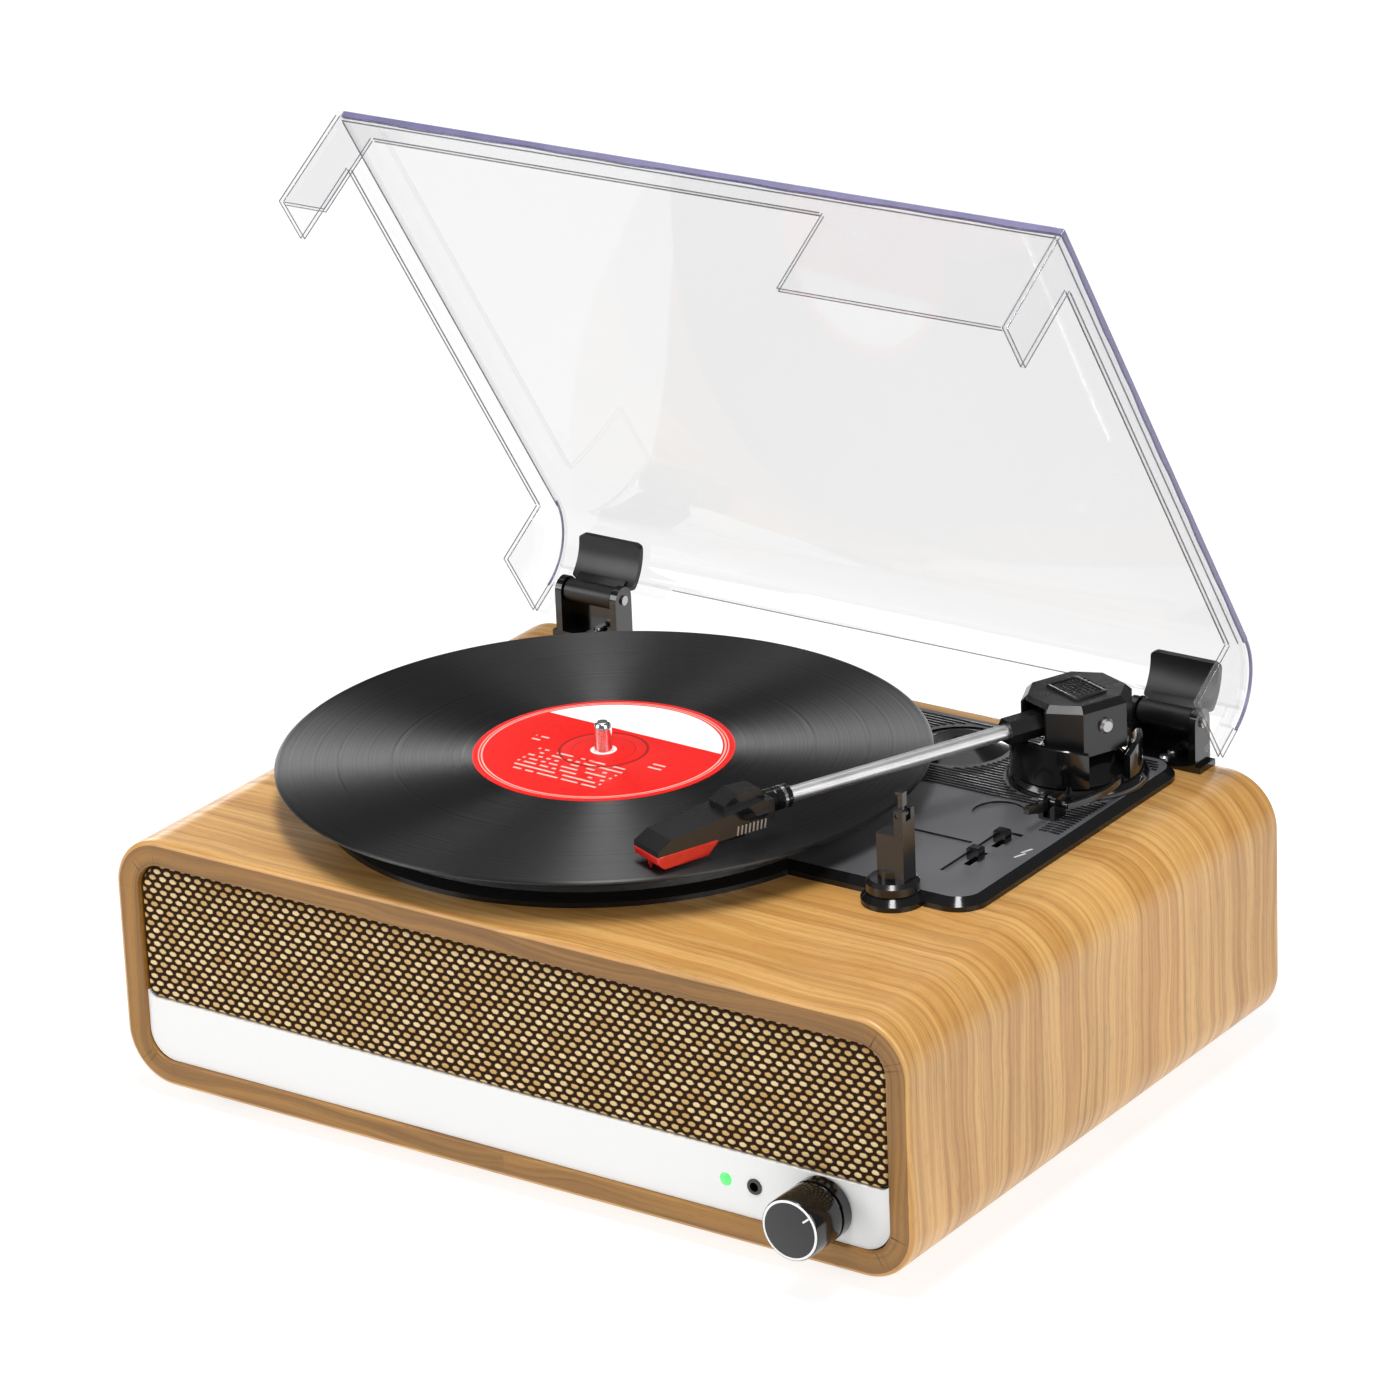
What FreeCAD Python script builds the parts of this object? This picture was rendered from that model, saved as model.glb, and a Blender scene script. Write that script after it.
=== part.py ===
"""Free-standing record player with a hinged clear cover, built-in speakers and a belt-driven platter.

Origin: the middle of the cabinet's footprint, on the surface that the feet stand on.
+X is the right-hand side as a listener faces it, +Y the back and +Z up. Lengths in millimetres.
"""

import FreeCAD, Part
import math
import os
import Sketcher

doc = FreeCAD.newDocument("RecordPlayer")
sheet = doc.addObject("Spreadsheet::Sheet", "Dim")
nodes = []


class Size:
    """A length or angle that carries its number and the sheet expression it follows."""

    def __init__(self, value, text):
        self.value = float(value)
        self.text = text

    def __float__(self):
        return self.value

    def __add__(self, other):
        other = sized(other)
        return Size(self.value + other.value, f"({self.text} + {other.text})")

    def __radd__(self, other):
        return sized(other) + self

    def __sub__(self, other):
        other = sized(other)
        return Size(self.value - other.value, f"({self.text} - {other.text})")

    def __rsub__(self, other):
        return sized(other) - self

    def __mul__(self, other):
        other = sized(other)
        return Size(self.value * other.value, f"({self.text} * {other.text})")

    def __rmul__(self, other):
        return sized(other) * self

    def __truediv__(self, other):
        other = sized(other)
        return Size(self.value / other.value, f"({self.text} / {other.text})")

    def __neg__(self):
        return Size(-self.value, f"(0 - {self.text})")


def sized(number):
    """Any number as a Size."""
    if isinstance(number, Size):
        return number
    return Size(number, f"({float(number):.6f})")


row = 0


def driving(alias, value, note):
    """One driving dimension: a row of the sheet with its note, number and alias."""
    global row
    row += 1
    sheet.set(f"A{row}", note)
    sheet.set(f"B{row}", str(value))
    sheet.setAlias(f"B{row}", alias)
    return Size(value, f"Dim.{alias}")


# ---- Driving dimensions -------------------------------------------------------------------------

cabinet_back = driving("cabinet_back", 4.7, "cabinet's middle behind the middle of the whole footprint")
cab_width = driving("cab_width", 356, "cabinet width over the veneer")
cab_depth = driving("cab_depth", 260, "cabinet depth")
cab_high = driving("cab_high", 101, "cabinet height without the feet")
cab_corner = driving("cab_corner", 21, "outer radius of the wrapped corners")
wall = driving("wall", 10, "cabinet board thickness")
opening_corner = driving("opening_corner", 12, "inner radius of the wrapped corners")
foot_high = driving("foot_high", 7, "height of a foot")
foot_radius = driving("foot_radius", 11, "radius of a foot")
foot_inset = driving("foot_inset", 38, "foot centre in from the side")
foot_setback = driving("foot_setback", 22, "foot centre in from the front and back")

front_recess = driving("front_recess", 1.5, "grille and strip behind the frame's edge")
skin_thick = driving("skin_thick", 2, "grille panel and strip thickness")
baffle_thick = driving("baffle_thick", 6, "front baffle thickness")
panel_fit = driving("panel_fit", 0.2, "gap round a panel in its opening")
strip_high = driving("strip_high", 24.9, "height of the control strip")
horn_high = driving("horn_high", 5, "height of the strip's upturned ends")
rear_thick = driving("rear_thick", 4, "rear panel thickness")
rear_recess = driving("rear_recess", 5, "rear panel in from the back edge")
cleat = driving("cleat", 10, "section of the cleats behind the rear panel")

speaker_x = driving("speaker_x", 92, "speaker centre from the middle")
speaker_up = driving("speaker_up", 45, "speaker centre above the cabinet floor")
speaker_radius = driving("speaker_radius", 30, "speaker flange radius")
cone_radius = driving("cone_radius", 24.5, "speaker opening radius")
speaker_deep = driving("speaker_deep", 17, "basket depth")
magnet_radius = driving("magnet_radius", 16, "magnet radius")
magnet_thick = driving("magnet_thick", 12, "magnet thickness")

knob_x = driving("knob_x", 140, "volume knob axis from the middle")
knob_radius = driving("knob_radius", 12, "volume knob radius")
knob_long = driving("knob_long", 22, "volume knob length")
control_up = driving("control_up", 13, "control centres above the cabinet floor")
led_x = driving("led_x", 97.5, "power light from the middle")
jack_x = driving("jack_x", 110, "headphone socket from the middle")
jack_bore = driving("jack_bore", 1.8, "headphone socket bore radius")
shaft_radius = driving("shaft_radius", 3, "potentiometer shaft radius")

deck_rise = driving("deck_rise", 5, "deck plate above the cabinet top")
deck_right = driving("deck_right", 146, "right edge of the deck plate")
deck_left = driving("deck_left", 60, "left edge of the deck plate's rear bay, left of the middle")
deck_back = driving("deck_back", 116.5, "back edge of the deck plate")
deck_front = driving("deck_front", 38, "front edge of the deck plate, in front of the middle")
deck_bevel = driving("deck_bevel", 3, "bevel round the deck plate")
dish_radius = driving("dish_radius", 101.5, "dish under the platter, outside")
dish_deep = driving("dish_deep", 3.5, "dish below the cabinet top")
plastic = driving("plastic", 2.5, "moulded wall thickness")

spindle_x = driving("spindle_x", -36, "spindle from the middle")
spindle_y = driving("spindle_y", -8, "spindle from the middle")
spindle_radius = driving("spindle_radius", 3.575, "spindle radius")
pin_ease = driving("pin_ease", 0.1, "free end of the spindle slimmer than its foot")
spindle_stands = driving("spindle_stands", 12, "spindle above the record")
platter_radius = driving("platter_radius", 97, "platter radius")
platter_high = driving("platter_high", 13, "platter height")
platter_gap = driving("platter_gap", 1.5, "platter above the dish floor")
drive_in = driving("drive_in", 27, "drive ring inside the platter's edge")
drive_radius = platter_radius - drive_in
pulley_radius = driving("pulley_radius", 4.5, "motor pulley radius")
motor_in = driving("motor_in", 15, "motor axis inside the platter's edge")
motor_reach = platter_radius - motor_in
motor_angle = driving("motor_angle", 135, "motor direction from the spindle")
motor_radius = driving("motor_radius", 19, "motor can radius")
motor_high = driving("motor_high", 26, "motor can height")
belt_thick = driving("belt_thick", 0.8, "belt thickness")
belt_high = driving("belt_high", 5, "belt height")
belt_gap = driving("belt_gap", 0.3, "belt off its wheels")
mat_thick = driving("mat_thick", 2.7, "platter mat thickness")
record_radius = driving("record_radius", 125, "record radius")
record_thick = driving("record_thick", 1.8, "record thickness")
label_radius = driving("label_radius", 50, "record label radius")
label_thick = driving("label_thick", 0.2, "record label thickness")

pivot_x = driving("pivot_x", 117, "tonearm pivot from the middle")
pivot_y = driving("pivot_y", 85, "tonearm pivot from the middle")
arm_height = driving("arm_height", 31, "tonearm axis above the cabinet top")
arm_swing = driving("arm_swing", 22.4, "tonearm turned in over the record")
arm_long = driving("arm_long", 189, "pivot to stylus")
tube_radius = driving("tube_radius", 2.9, "tonearm tube radius")
sleeve_across = driving("sleeve_across", 9.2, "six-sided sleeve across its flats")
sleeve_end = driving("sleeve_end", 33, "front end of the sleeve from the pivot")
collar_start = driving("collar_start", 131, "front collar from the pivot")
collar_long = driving("collar_long", 11, "front collar length")
housing_wide = driving("housing_wide", 36, "pivot housing width")
housing_long = driving("housing_long", 40, "pivot housing length")
housing_high = driving("housing_high", 20, "pivot housing height")
housing_chamfer = driving("housing_chamfer", 10, "pivot housing corner cut")
housing_wall = driving("housing_wall", 2.2, "pivot housing wall")
pedestal_radius = driving("pedestal_radius", 27, "pedestal foot radius")
pedestal_high = driving("pedestal_high", 14.5, "pedestal height")
pivot_radius = driving("pivot_radius", 4, "pivot shaft radius")
head_wide = driving("head_wide", 16, "headshell width")
head_long = driving("head_long", 51, "headshell length")
rest_x = driving("rest_x", 113.5, "arm rest from the middle")
rest_y = driving("rest_y", -38.5, "arm rest from the middle")
rest_radius = driving("rest_radius", 10, "arm rest foot radius")

cover_width = driving("cover_width", 322, "cover width")
cover_deep = driving("cover_deep", 260, "cover depth")
cover_rise = driving("cover_rise", 48, "closed cover's top above the cabinet")
cover_plate = driving("cover_plate", 3, "cover's top thickness")
cover_wall = driving("cover_wall", 2.5, "cover's wall thickness")
cover_rim = driving("cover_rim", 11, "depth of the cover's shallow rim")
cover_open = driving("cover_open", 57.5, "angle of the open cover")
front_skirt = driving("front_skirt", 47, "depth of the cover's front corners")
rear_skirt = driving("rear_skirt", 39, "depth of the cover's rear corners")
rear_bend = driving("rear_bend", 25, "bend from the cover's top to its rear wall")
hinge_x = driving("hinge_x", 134, "hinge centre from the middle")
hinge_wide = driving("hinge_wide", 30, "hinge width")
hinge_up = driving("hinge_up", 19, "hinge axis above the cabinet top")
hinge_in = driving("hinge_in", 6.5, "hinge axis in from the back edge")
hinge_knuckle = driving("hinge_knuckle", 5.5, "hinge cheek radius")
pin_radius = driving("pin_radius", 2, "hinge pin radius")
hinge_play = driving("hinge_play", 0.06, "clearance of a hinge pin in its barrel")

turn_fit = driving("turn_fit", 0.05, "radial clearance of a turning shaft")

doc.recompute()

# Levels and faces that many pieces share
side = cab_width / 2
front = -cab_depth / 2
back = cab_depth / 2
top = foot_high + cab_high
floor_in = foot_high + wall
ceiling = top - wall
inner = side - wall
skin_front = front + front_recess
baffle_front = skin_front + skin_thick
baffle_back = baffle_front + baffle_thick
rear_out = back - rear_recess
rear_in = rear_out - rear_thick
strip_top = floor_in + strip_high
control_z = floor_in + control_up
deck_top = top + deck_rise
dish_floor = top - dish_deep + plastic
platter_bottom = dish_floor + platter_gap
platter_top = platter_bottom + platter_high
mat_top = platter_top + mat_thick
record_top = mat_top + record_thick
arm_z = top + arm_height
hinge_y = back - hinge_in
hinge_z = top + hinge_up


# ---- Building blocks ----------------------------------------------------------------------------

AXES = {"X": ((0, 1, 0), 90), "Y": ((1, 0, 0), -90), "Z": ((0, 0, 1), 0)}


def put(obj, at=(0, 0, 0), axis=None, angle=0):
    """Place an object at a point, turned about an axis, all by expression.

    An object that already has a place of its own keeps it inside a group.
    """
    if any("Placement" in path for path, _ in obj.ExpressionEngine):
        obj = group(obj)
    if axis is not None:
        obj.Placement = FreeCAD.Placement(FreeCAD.Vector(0, 0, 0), FreeCAD.Rotation(FreeCAD.Vector(*axis), 1))
        obj.setExpression("Placement.Rotation.Angle", sized(angle).text)
    for letter, value in zip("xyz", at):
        obj.setExpression(f"Placement.Base.{letter}", sized(value).text)
    return obj


def block(span_x, span_y, span_z):
    """Rectangular block between two values on each axis."""
    obj = doc.addObject("Part::Box", "Block")
    for prop, span in (("Length", span_x), ("Width", span_y), ("Height", span_z)):
        obj.setExpression(prop, (sized(span[1]) - span[0]).text)
    return put(obj, (span_x[0], span_y[0], span_z[0]))


def rod(radius, at, length, along="Z"):
    """Cylinder that starts at a point and runs along an axis."""
    obj = doc.addObject("Part::Cylinder", "Rod")
    obj.setExpression("Radius", sized(radius).text)
    obj.setExpression("Height", sized(length).text)
    axis, angle = AXES[along]
    return put(obj, at, axis, angle)


def taper(radius_1, radius_2, at, length, along="Z"):
    """Cone that starts at a point and runs along an axis."""
    obj = doc.addObject("Part::Cone", "Taper")
    obj.setExpression("Radius1", sized(radius_1).text)
    obj.setExpression("Radius2", sized(radius_2).text)
    obj.setExpression("Height", sized(length).text)
    axis, angle = AXES[along]
    return put(obj, at, axis, angle)


def hexagon(across, length):
    """Six-sided bar along Z from its across-flats size."""
    obj = doc.addObject("Part::Prism", "Hexagon")
    obj.Polygon = 6
    obj.setExpression("Circumradius", (sized(across) / (2 * math.cos(math.radians(30)))).text)
    obj.setExpression("Height", sized(length).text)
    return obj


def fuse(*parts):
    obj = doc.addObject("Part::MultiFuse", "Union")
    obj.Shapes = list(parts)
    return obj


def group(*parts):
    """Separate solids that share one node."""
    obj = doc.addObject("Part::Compound", "Group")
    obj.Links = list(parts)
    return obj


def cut(base, *tools):
    obj = doc.addObject("Part::Cut", "Cut")
    obj.Base = base
    obj.Tool = tools[0] if len(tools) == 1 else fuse(*tools)
    return obj


def common(*parts):
    obj = doc.addObject("Part::MultiCommon", "Overlap")
    obj.Shapes = list(parts)
    return obj


def edge_work(kind, base, size, pick):
    """Fillet or chamfer on the edges of a base that pick() accepts."""
    doc.recompute()
    chosen = [i + 1 for i, edge in enumerate(base.Shape.Edges) if pick(edge)]
    if not chosen:
        raise ValueError(f"no edge to work on {base.Label}")
    obj = doc.addObject(kind, "Edges")
    obj.Base = base
    obj.Edges = [(i, float(size), float(size)) for i in chosen]
    return obj


def fillet(base, radius, pick):
    return edge_work("Part::Fillet", base, radius, pick)


def chamfer(base, size, pick):
    return edge_work("Part::Chamfer", base, size, pick)


def runs_along(letter, *, high=None, low=None):
    """Edge test: straight along one axis, optionally on one side of the other axes' limits."""
    index = "XYZ".index(letter)

    def pick(edge):
        if edge.Curve.TypeId != "Part::GeomLine":
            return False
        direction = edge.Curve.Direction
        if abs(abs(direction[index]) - 1) > 1e-6:
            return False
        middle = edge.CenterOfMass
        for limits, sign in ((high, 1), (low, -1)):
            for other, value in (limits or {}).items():
                if sign * (middle["XYZ".index(other)] - float(value)) < -1e-4:
                    return False
        return True

    return pick


def at_level(z):
    """Edge test: lies flat at one height."""
    def pick(edge):
        box = edge.BoundBox
        return abs(box.ZMin - float(z)) < 1e-4 and abs(box.ZMax - float(z)) < 1e-4
    return pick


def rounded_block(span_x, span_y, span_z, radius, along):
    """Block with the four edges along one axis rounded."""
    return fillet(block(span_x, span_y, span_z), radius, runs_along(along))


def plane_of(body, role):
    return next(item for item in body.Origin.OriginFeatures if item.Role == role)


def sketch_loop(body, role, points):
    """Closed polygon sketch on one of the body's own planes, each corner tied to the sheet."""
    sketch = body.newObject("Sketcher::SketchObject", "Profile")
    sketch.AttachmentSupport = [(plane_of(body, role), "")]
    sketch.MapMode = "FlatFace"
    corners = [FreeCAD.Vector(float(p[0]), float(p[1]), 0) for p in points]
    count = len(corners)
    for i in range(count):
        sketch.addGeometry(Part.LineSegment(corners[i], corners[(i + 1) % count]), False)
    for i in range(count):
        sketch.addConstraint(Sketcher.Constraint("Coincident", i, 2, (i + 1) % count, 1))
    for i, point in enumerate(points):
        for kind, axis, value in (("DistanceX", -2, point[0]), ("DistanceY", -1, point[1])):
            value = sized(value)
            if abs(value.value) < 1e-9:
                sketch.addConstraint(Sketcher.Constraint("PointOnObject", i, 1, axis))
                continue
            number = sketch.addConstraint(Sketcher.Constraint(kind, -1, 1, i, 1, value.value))
            sketch.setExpression(f"Constraints[{number}]", value.text)
    return sketch


def turned(profile, at=(0, 0, 0), axis=None, angle=0):
    """Body turned about its own Z axis from (radius, height) corners."""
    body = doc.addObject("PartDesign::Body", "Turned")
    sketch = sketch_loop(body, "XZ_Plane", profile)
    spin = body.newObject("PartDesign::Revolution", "Spin")
    spin.Profile = sketch
    spin.ReferenceAxis = (sketch, ["V_Axis"])
    spin.Angle = 360
    sketch.Visibility = False
    body.Tip = spin
    return put(body, at, axis, angle)


def padded(points, role, length, at=(0, 0, 0), axis=None, angle=0):
    """Body padded both ways from a polygon on one of its planes, length in all."""
    body = doc.addObject("PartDesign::Body", "Padded")
    sketch = sketch_loop(body, role, points)
    pad = body.newObject("PartDesign::Pad", "Pad")
    pad.Profile = sketch
    pad.setExpression("Length", sized(length).text)
    pad.Midplane = True
    sketch.Visibility = False
    body.Tip = pad
    return put(body, at, axis, angle)


def node(name, obj):
    """Name a finished sub-part and bring it from the cabinet's middle to the frame of the whole."""
    whole = put(group(obj), (0, cabinet_back, 0))
    whole.Label = name
    nodes.append(whole)


def wedge(centre, from_turn, to_turn, reach, x, width):
    """Sector of a disc in the YZ plane about a centre (y, z), seen along X, as a solid of some width."""
    middle = (from_turn + to_turn) / 2
    points = [centre]
    for turn, stretch in ((from_turn, 1), (middle, 1.3), (to_turn, 1)):
        angle = math.radians(turn)
        points.append((centre[0] + reach * stretch * math.cos(angle), centre[1] + reach * stretch * math.sin(angle)))
    return padded(points, "YZ_Plane", width, (x, 0, 0))


def screw(at, head, length, along="Z", turn_over=False):
    """Pan-head screw: its head stands on the point and its shank runs back from it."""
    profile = [(0, 0), (head, 0), (head, head * 0.3), (head * 0.7, head * 0.6), (0, head * 0.6)]
    whole = fuse(turned(profile), rod(head * 0.5, (0, 0, -length), length))
    axis, angle = AXES[along]
    if turn_over:
        axis, angle = (axis, angle + 180) if along != "Z" else ((1, 0, 0), 180)
    return put(whole, at, axis, angle)


# ---- Cabinet: a veneered board wrapped into a tube, open to the front and back ------------------

shell_out = rounded_block((-side, side), (front, back), (foot_high, top), cab_corner, "Y")
shell_in = rounded_block((-inner, inner), (front - 1, back + 1), (floor_in, ceiling), opening_corner, "Y")
seat = deck_bevel + 6
bay_cut = rounded_block((seat - deck_left, deck_right - seat), (seat - deck_front, deck_back - seat),
                        (ceiling - 1, top + 1), 6, "Z")
dish_cut = rod(dish_radius + 1, (spindle_x, spindle_y, ceiling - 1), wall + 2)
foot_spots = [(across * (side - foot_inset), along * (back - foot_setback))
              for across in (-1, 1) for along in (-1, 1)]
foot_pilots = [rod(1.5, (x, y, foot_high - 1), wall * 0.7 + 1) for x, y in foot_spots]
hinge_screw_spots = [(across * hinge_x, hinge_y + step) for across in (-1, 1) for step in (-3, 3)]
hinge_pilots = [rod(1.2, (x, y, top - 8), 9) for x, y in hinge_screw_spots]
node("cabinet_shell", cut(shell_out, shell_in, bay_cut, dish_cut, *foot_pilots, *hinge_pilots))

foot_seat = 3.5
foot_profile = [(4, 0), (foot_radius - 1.5, 0), (foot_radius, 1.5), (foot_radius - 1, foot_high),
                (1.7, foot_high), (1.7, foot_seat), (4, foot_seat)]
node("rubber_feet", group(*[turned(foot_profile, (x, y, 0)) for x, y in foot_spots]))
foot_screw_long = foot_high - foot_seat + wall * 0.6
node("foot_screws", group(*[screw((x, y, foot_seat), 3, foot_screw_long, "Z", turn_over=True)
                            for x, y in foot_spots]))

cleat_x = inner - panel_fit
cleat_z = (floor_in + opening_corner, ceiling - opening_corner)
cleat_y = (rear_in - cleat, rear_in)
screw_x = cleat_x - cleat / 2
rear_screw_spots = [(across * screw_x, floor_in + up) for across in (-1, 1) for up in (20, 61)]
rear_shank = 1.4
cleat_pilots = [rod(rear_shank, (x, rear_in - 7, z), 8, "Y") for x, z in rear_screw_spots]
node("rear_cleats", cut(group(block((-cleat_x, cleat - cleat_x), cleat_y, cleat_z),
                              block((cleat_x - cleat, cleat_x), cleat_y, cleat_z)), *cleat_pilots))

# ---- Front: baffle board, cloth-covered grille panel and control strip --------------------------

skin_x = inner - panel_fit
skin_z = (floor_in + panel_fit, ceiling - panel_fit)
skin_corner = opening_corner - panel_fit
speaker_z = floor_in + speaker_up
panel_y = (baffle_front, baffle_back)

screw_reach = speaker_radius - 2.4
speaker_shank = 0.9
speaker_screw_spots = [(across * speaker_x + screw_reach * math.cos(math.radians(turn)),
                        speaker_z + screw_reach * math.sin(math.radians(turn)))
                       for across in (-1, 1) for turn in (45, 135, 225, 315)]
speaker_pilots = [rod(speaker_shank, (x, baffle_back - 4, z), 8, "Y") for x, z in speaker_screw_spots]
baffle = rounded_block((-skin_x, skin_x), panel_y, skin_z, skin_corner, "Y")
speaker_holes = [rod(cone_radius + 0.5, (across * speaker_x, baffle_front - 1, speaker_z), baffle_thick + 2, "Y")
                 for across in (-1, 1)]
control_window = block((led_x - 8, knob_x + 14), (baffle_front - 1, baffle_back + 1),
                       (control_z - 8, control_z + 8))
node("front_baffle", cut(baffle, control_window, *speaker_holes, *speaker_pilots))

skin_y = (skin_front, baffle_front)
whole_skin = rounded_block((-skin_x, skin_x), skin_y, skin_z, skin_corner, "Y")
grille_area = rounded_block((-skin_x - 1, skin_x + 1), (skin_front - 1, baffle_front + 1),
                            (strip_top, ceiling + 1 + horn_high), horn_high + 1, "Y")
grille_room = rounded_block((-skin_x - 1, skin_x + 1), (skin_front - 1, baffle_front + 1),
                            (strip_top - panel_fit, ceiling + 1 + horn_high), horn_high + 1, "Y")
node("grille_panel", common(whole_skin, grille_area))

strip_skin = rounded_block((-skin_x, skin_x), skin_y, skin_z, skin_corner, "Y")
light_hole = rod(2.6, (led_x, skin_front - 1, control_z), skin_thick + 2, "Y")
socket_hole = rod(3.1, (jack_x, skin_front - 1, control_z), skin_thick + 2, "Y")
shaft_hole = rod(shaft_radius + 0.6, (knob_x, skin_front - 1, control_z), skin_thick + 2, "Y")
node("control_strip", cut(strip_skin, grille_room, light_hole, socket_hole, shaft_hole))

# ---- Speakers: basket, cone and magnet on the back of the baffle ---------------------------------

throat = magnet_radius - 3
basket_profile = [(cone_radius, 0), (speaker_radius, 0), (speaker_radius, 2), (cone_radius + 0.8, 2),
                  (magnet_radius, speaker_deep - 2), (magnet_radius, speaker_deep), (8, speaker_deep),
                  (8, speaker_deep - 2), (throat, speaker_deep - 2), (cone_radius, 2.5)]
cone_profile = [(0, speaker_deep - 8), (6, speaker_deep - 6), (7, speaker_deep - 3), (cone_radius - 3, 1.5),
                (cone_radius - 1.6, 0.6), (cone_radius - 0.2, 1.2), (cone_radius - 0.2, 2),
                (cone_radius - 1.6, 1.4), (cone_radius - 3, 2.5), (7, speaker_deep - 2.2), (0, speaker_deep - 2.2)]
magnet_back = speaker_deep + magnet_thick
magnet_profile = [(0, speaker_deep), (magnet_radius, speaker_deep), (magnet_radius, magnet_back),
                  (magnet_radius - 2, magnet_back + 2), (0, magnet_back + 2)]
speaker_spots = [(across * speaker_x, baffle_back, speaker_z) for across in (-1, 1)]
baskets, cones, magnets = [group(*[turned(profile, spot, (1, 0, 0), -90) for spot in speaker_spots])
                           for profile in (basket_profile, cone_profile, magnet_profile)]
node("speaker_baskets", cut(baskets, *speaker_pilots))
node("speaker_cones", cones)
node("speaker_magnets", magnets)
small_screws = [screw((x, baffle_back + 2, z), 2 * speaker_shank, 6, "Y") for x, z in speaker_screw_spots]

# ---- Controls behind the strip ------------------------------------------------------------------

board_thick = 1.6
control_board_y = baffle_back + 4
node("control_board", block((led_x - 9, knob_x + 15), (control_board_y, control_board_y + board_thick),
                            (control_z - 9, control_z + 5.5)))
pot_y = (control_board_y - 8, control_board_y)
pot_case = block((knob_x - 8, knob_x + 8), pot_y, (control_z - 7.5, control_z + 7.5))
pot_bore = rod(shaft_radius + turn_fit, (knob_x, pot_y[0] - 7, control_z), 20, "Y")
pot_neck = rod(shaft_radius + 1.5, (knob_x, baffle_front + 0.5, control_z), pot_y[0] - baffle_front, "Y")
node("volume_pot", cut(fuse(pot_case, pot_neck), pot_bore))

knob_back = skin_front - 0.7
knob_front = knob_back - knob_long
shaft_end = knob_front + 4
node("volume_shaft", rod(shaft_radius, (knob_x, shaft_end, control_z), control_board_y - 1 - shaft_end, "Y"))
knob_skirt = 5
knob_shape = turned([(0, 0), (knob_radius - 2, 0), (knob_radius - 2, 0.6), (knob_radius - 0.8, 0.6), (knob_radius, 1.4),
                     (knob_radius, knob_long - knob_skirt - 1.5), (knob_radius - 1.5, knob_long - knob_skirt - 1.5),
                     (knob_radius - 1.5, knob_long - knob_skirt), (knob_radius, knob_long - knob_skirt),
                     (knob_radius, knob_long), (0, knob_long)], (knob_x, knob_front, control_z), (1, 0, 0), -90)
node("volume_knob", cut(knob_shape, rod(shaft_radius, (knob_x, shaft_end, control_z), knob_long, "Y")))

light_front = skin_front - 0.6
node("power_light", turned([(0, 0), (1.6, 0.1), (2.4, 0.8), (2.4, 4), (2.9, 4), (2.9, 5), (0, 5)],
                           (led_x, light_front, control_z), (1, 0, 0), -90))
socket_long = control_board_y - skin_front
socket_nose = rod(3, (jack_x, skin_front - 0.5, control_z), 8, "Y")
socket_body = block((jack_x - 5.5, jack_x + 5.5), (baffle_front + 2, control_board_y),
                    (control_z - 5, control_z + 4.3))
socket_bore = rod(jack_bore, (jack_x, skin_front - 2, control_z), socket_long - 1, "Y")
node("headphone_socket", cut(fuse(socket_nose, socket_body), socket_bore))

# ---- Rear panel and its sockets -----------------------------------------------------------------

socket_z = floor_in + 22
inlet_x = -135
line_in_x = -105
line_out_x = (-78, -62)
rear_board = rounded_block((-skin_x, skin_x), (rear_in, rear_out), skin_z, skin_corner, "Y")
rear_cuts = [block((inlet_x - 4.6, inlet_x + 4.6), (rear_in - 1, rear_out + 1), (socket_z - 5.6, socket_z + 5.6)),
             rod(3.2, (line_in_x, rear_in - 1, socket_z), rear_thick + 2, "Y")]
rear_cuts += [rod(4.4, (x, rear_in - 1, socket_z), rear_thick + 2, "Y") for x in line_out_x]
vent_count = 7
vent_pitch = 7
for i in range(vent_count):
    x = 30 + vent_pitch * i
    rear_cuts.append(block((x, x + 2.5), (rear_in - 1, rear_out + 1), (floor_in + 20, floor_in + 52)))
rear_cuts += [rod(1.5, (x, rear_in - 1, z), rear_thick + 2, "Y") for x, z in rear_screw_spots]
node("rear_panel", cut(rear_board, *rear_cuts))
small_screws += [screw((x, rear_out, z), 2 * rear_shank, rear_thick + 6, "Y") for x, z in rear_screw_spots]

inlet_case = block((inlet_x - 4.5, inlet_x + 4.5), (rear_in - 8, rear_out + 1), (socket_z - 5.5, socket_z + 5.5))
inlet_bore = rod(2.8, (inlet_x, rear_out - 9, socket_z), 12, "Y")
inlet_pin = rod(1, (inlet_x, rear_out - 9.5, socket_z), 8, "Y")
node("power_inlet", fuse(cut(inlet_case, inlet_bore), inlet_pin))
line_in = cut(fuse(block((line_in_x - 5, line_in_x + 5), (rear_in - 12, rear_in), (socket_z - 5, socket_z + 5)),
                   rod(3.1, (line_in_x, rear_in - 1, socket_z), rear_thick + 1.6, "Y")),
              rod(jack_bore, (line_in_x, rear_in - 10, socket_z), 20, "Y"))
line_out = []
for x in line_out_x:
    flange = block((x - 6, x + 6), (rear_in - 8, rear_in), (socket_z - 7, socket_z + 7))
    barrel = rod(4.15, (x, rear_in - 2, socket_z), rear_thick + 9, "Y")
    line_out.append(cut(fuse(flange, barrel), rod(1.6, (x, rear_in - 4, socket_z), 20, "Y")))
node("line_sockets", group(line_in, *line_out))

# ---- Amplifier ----------------------------------------------------------------------------------

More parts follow.
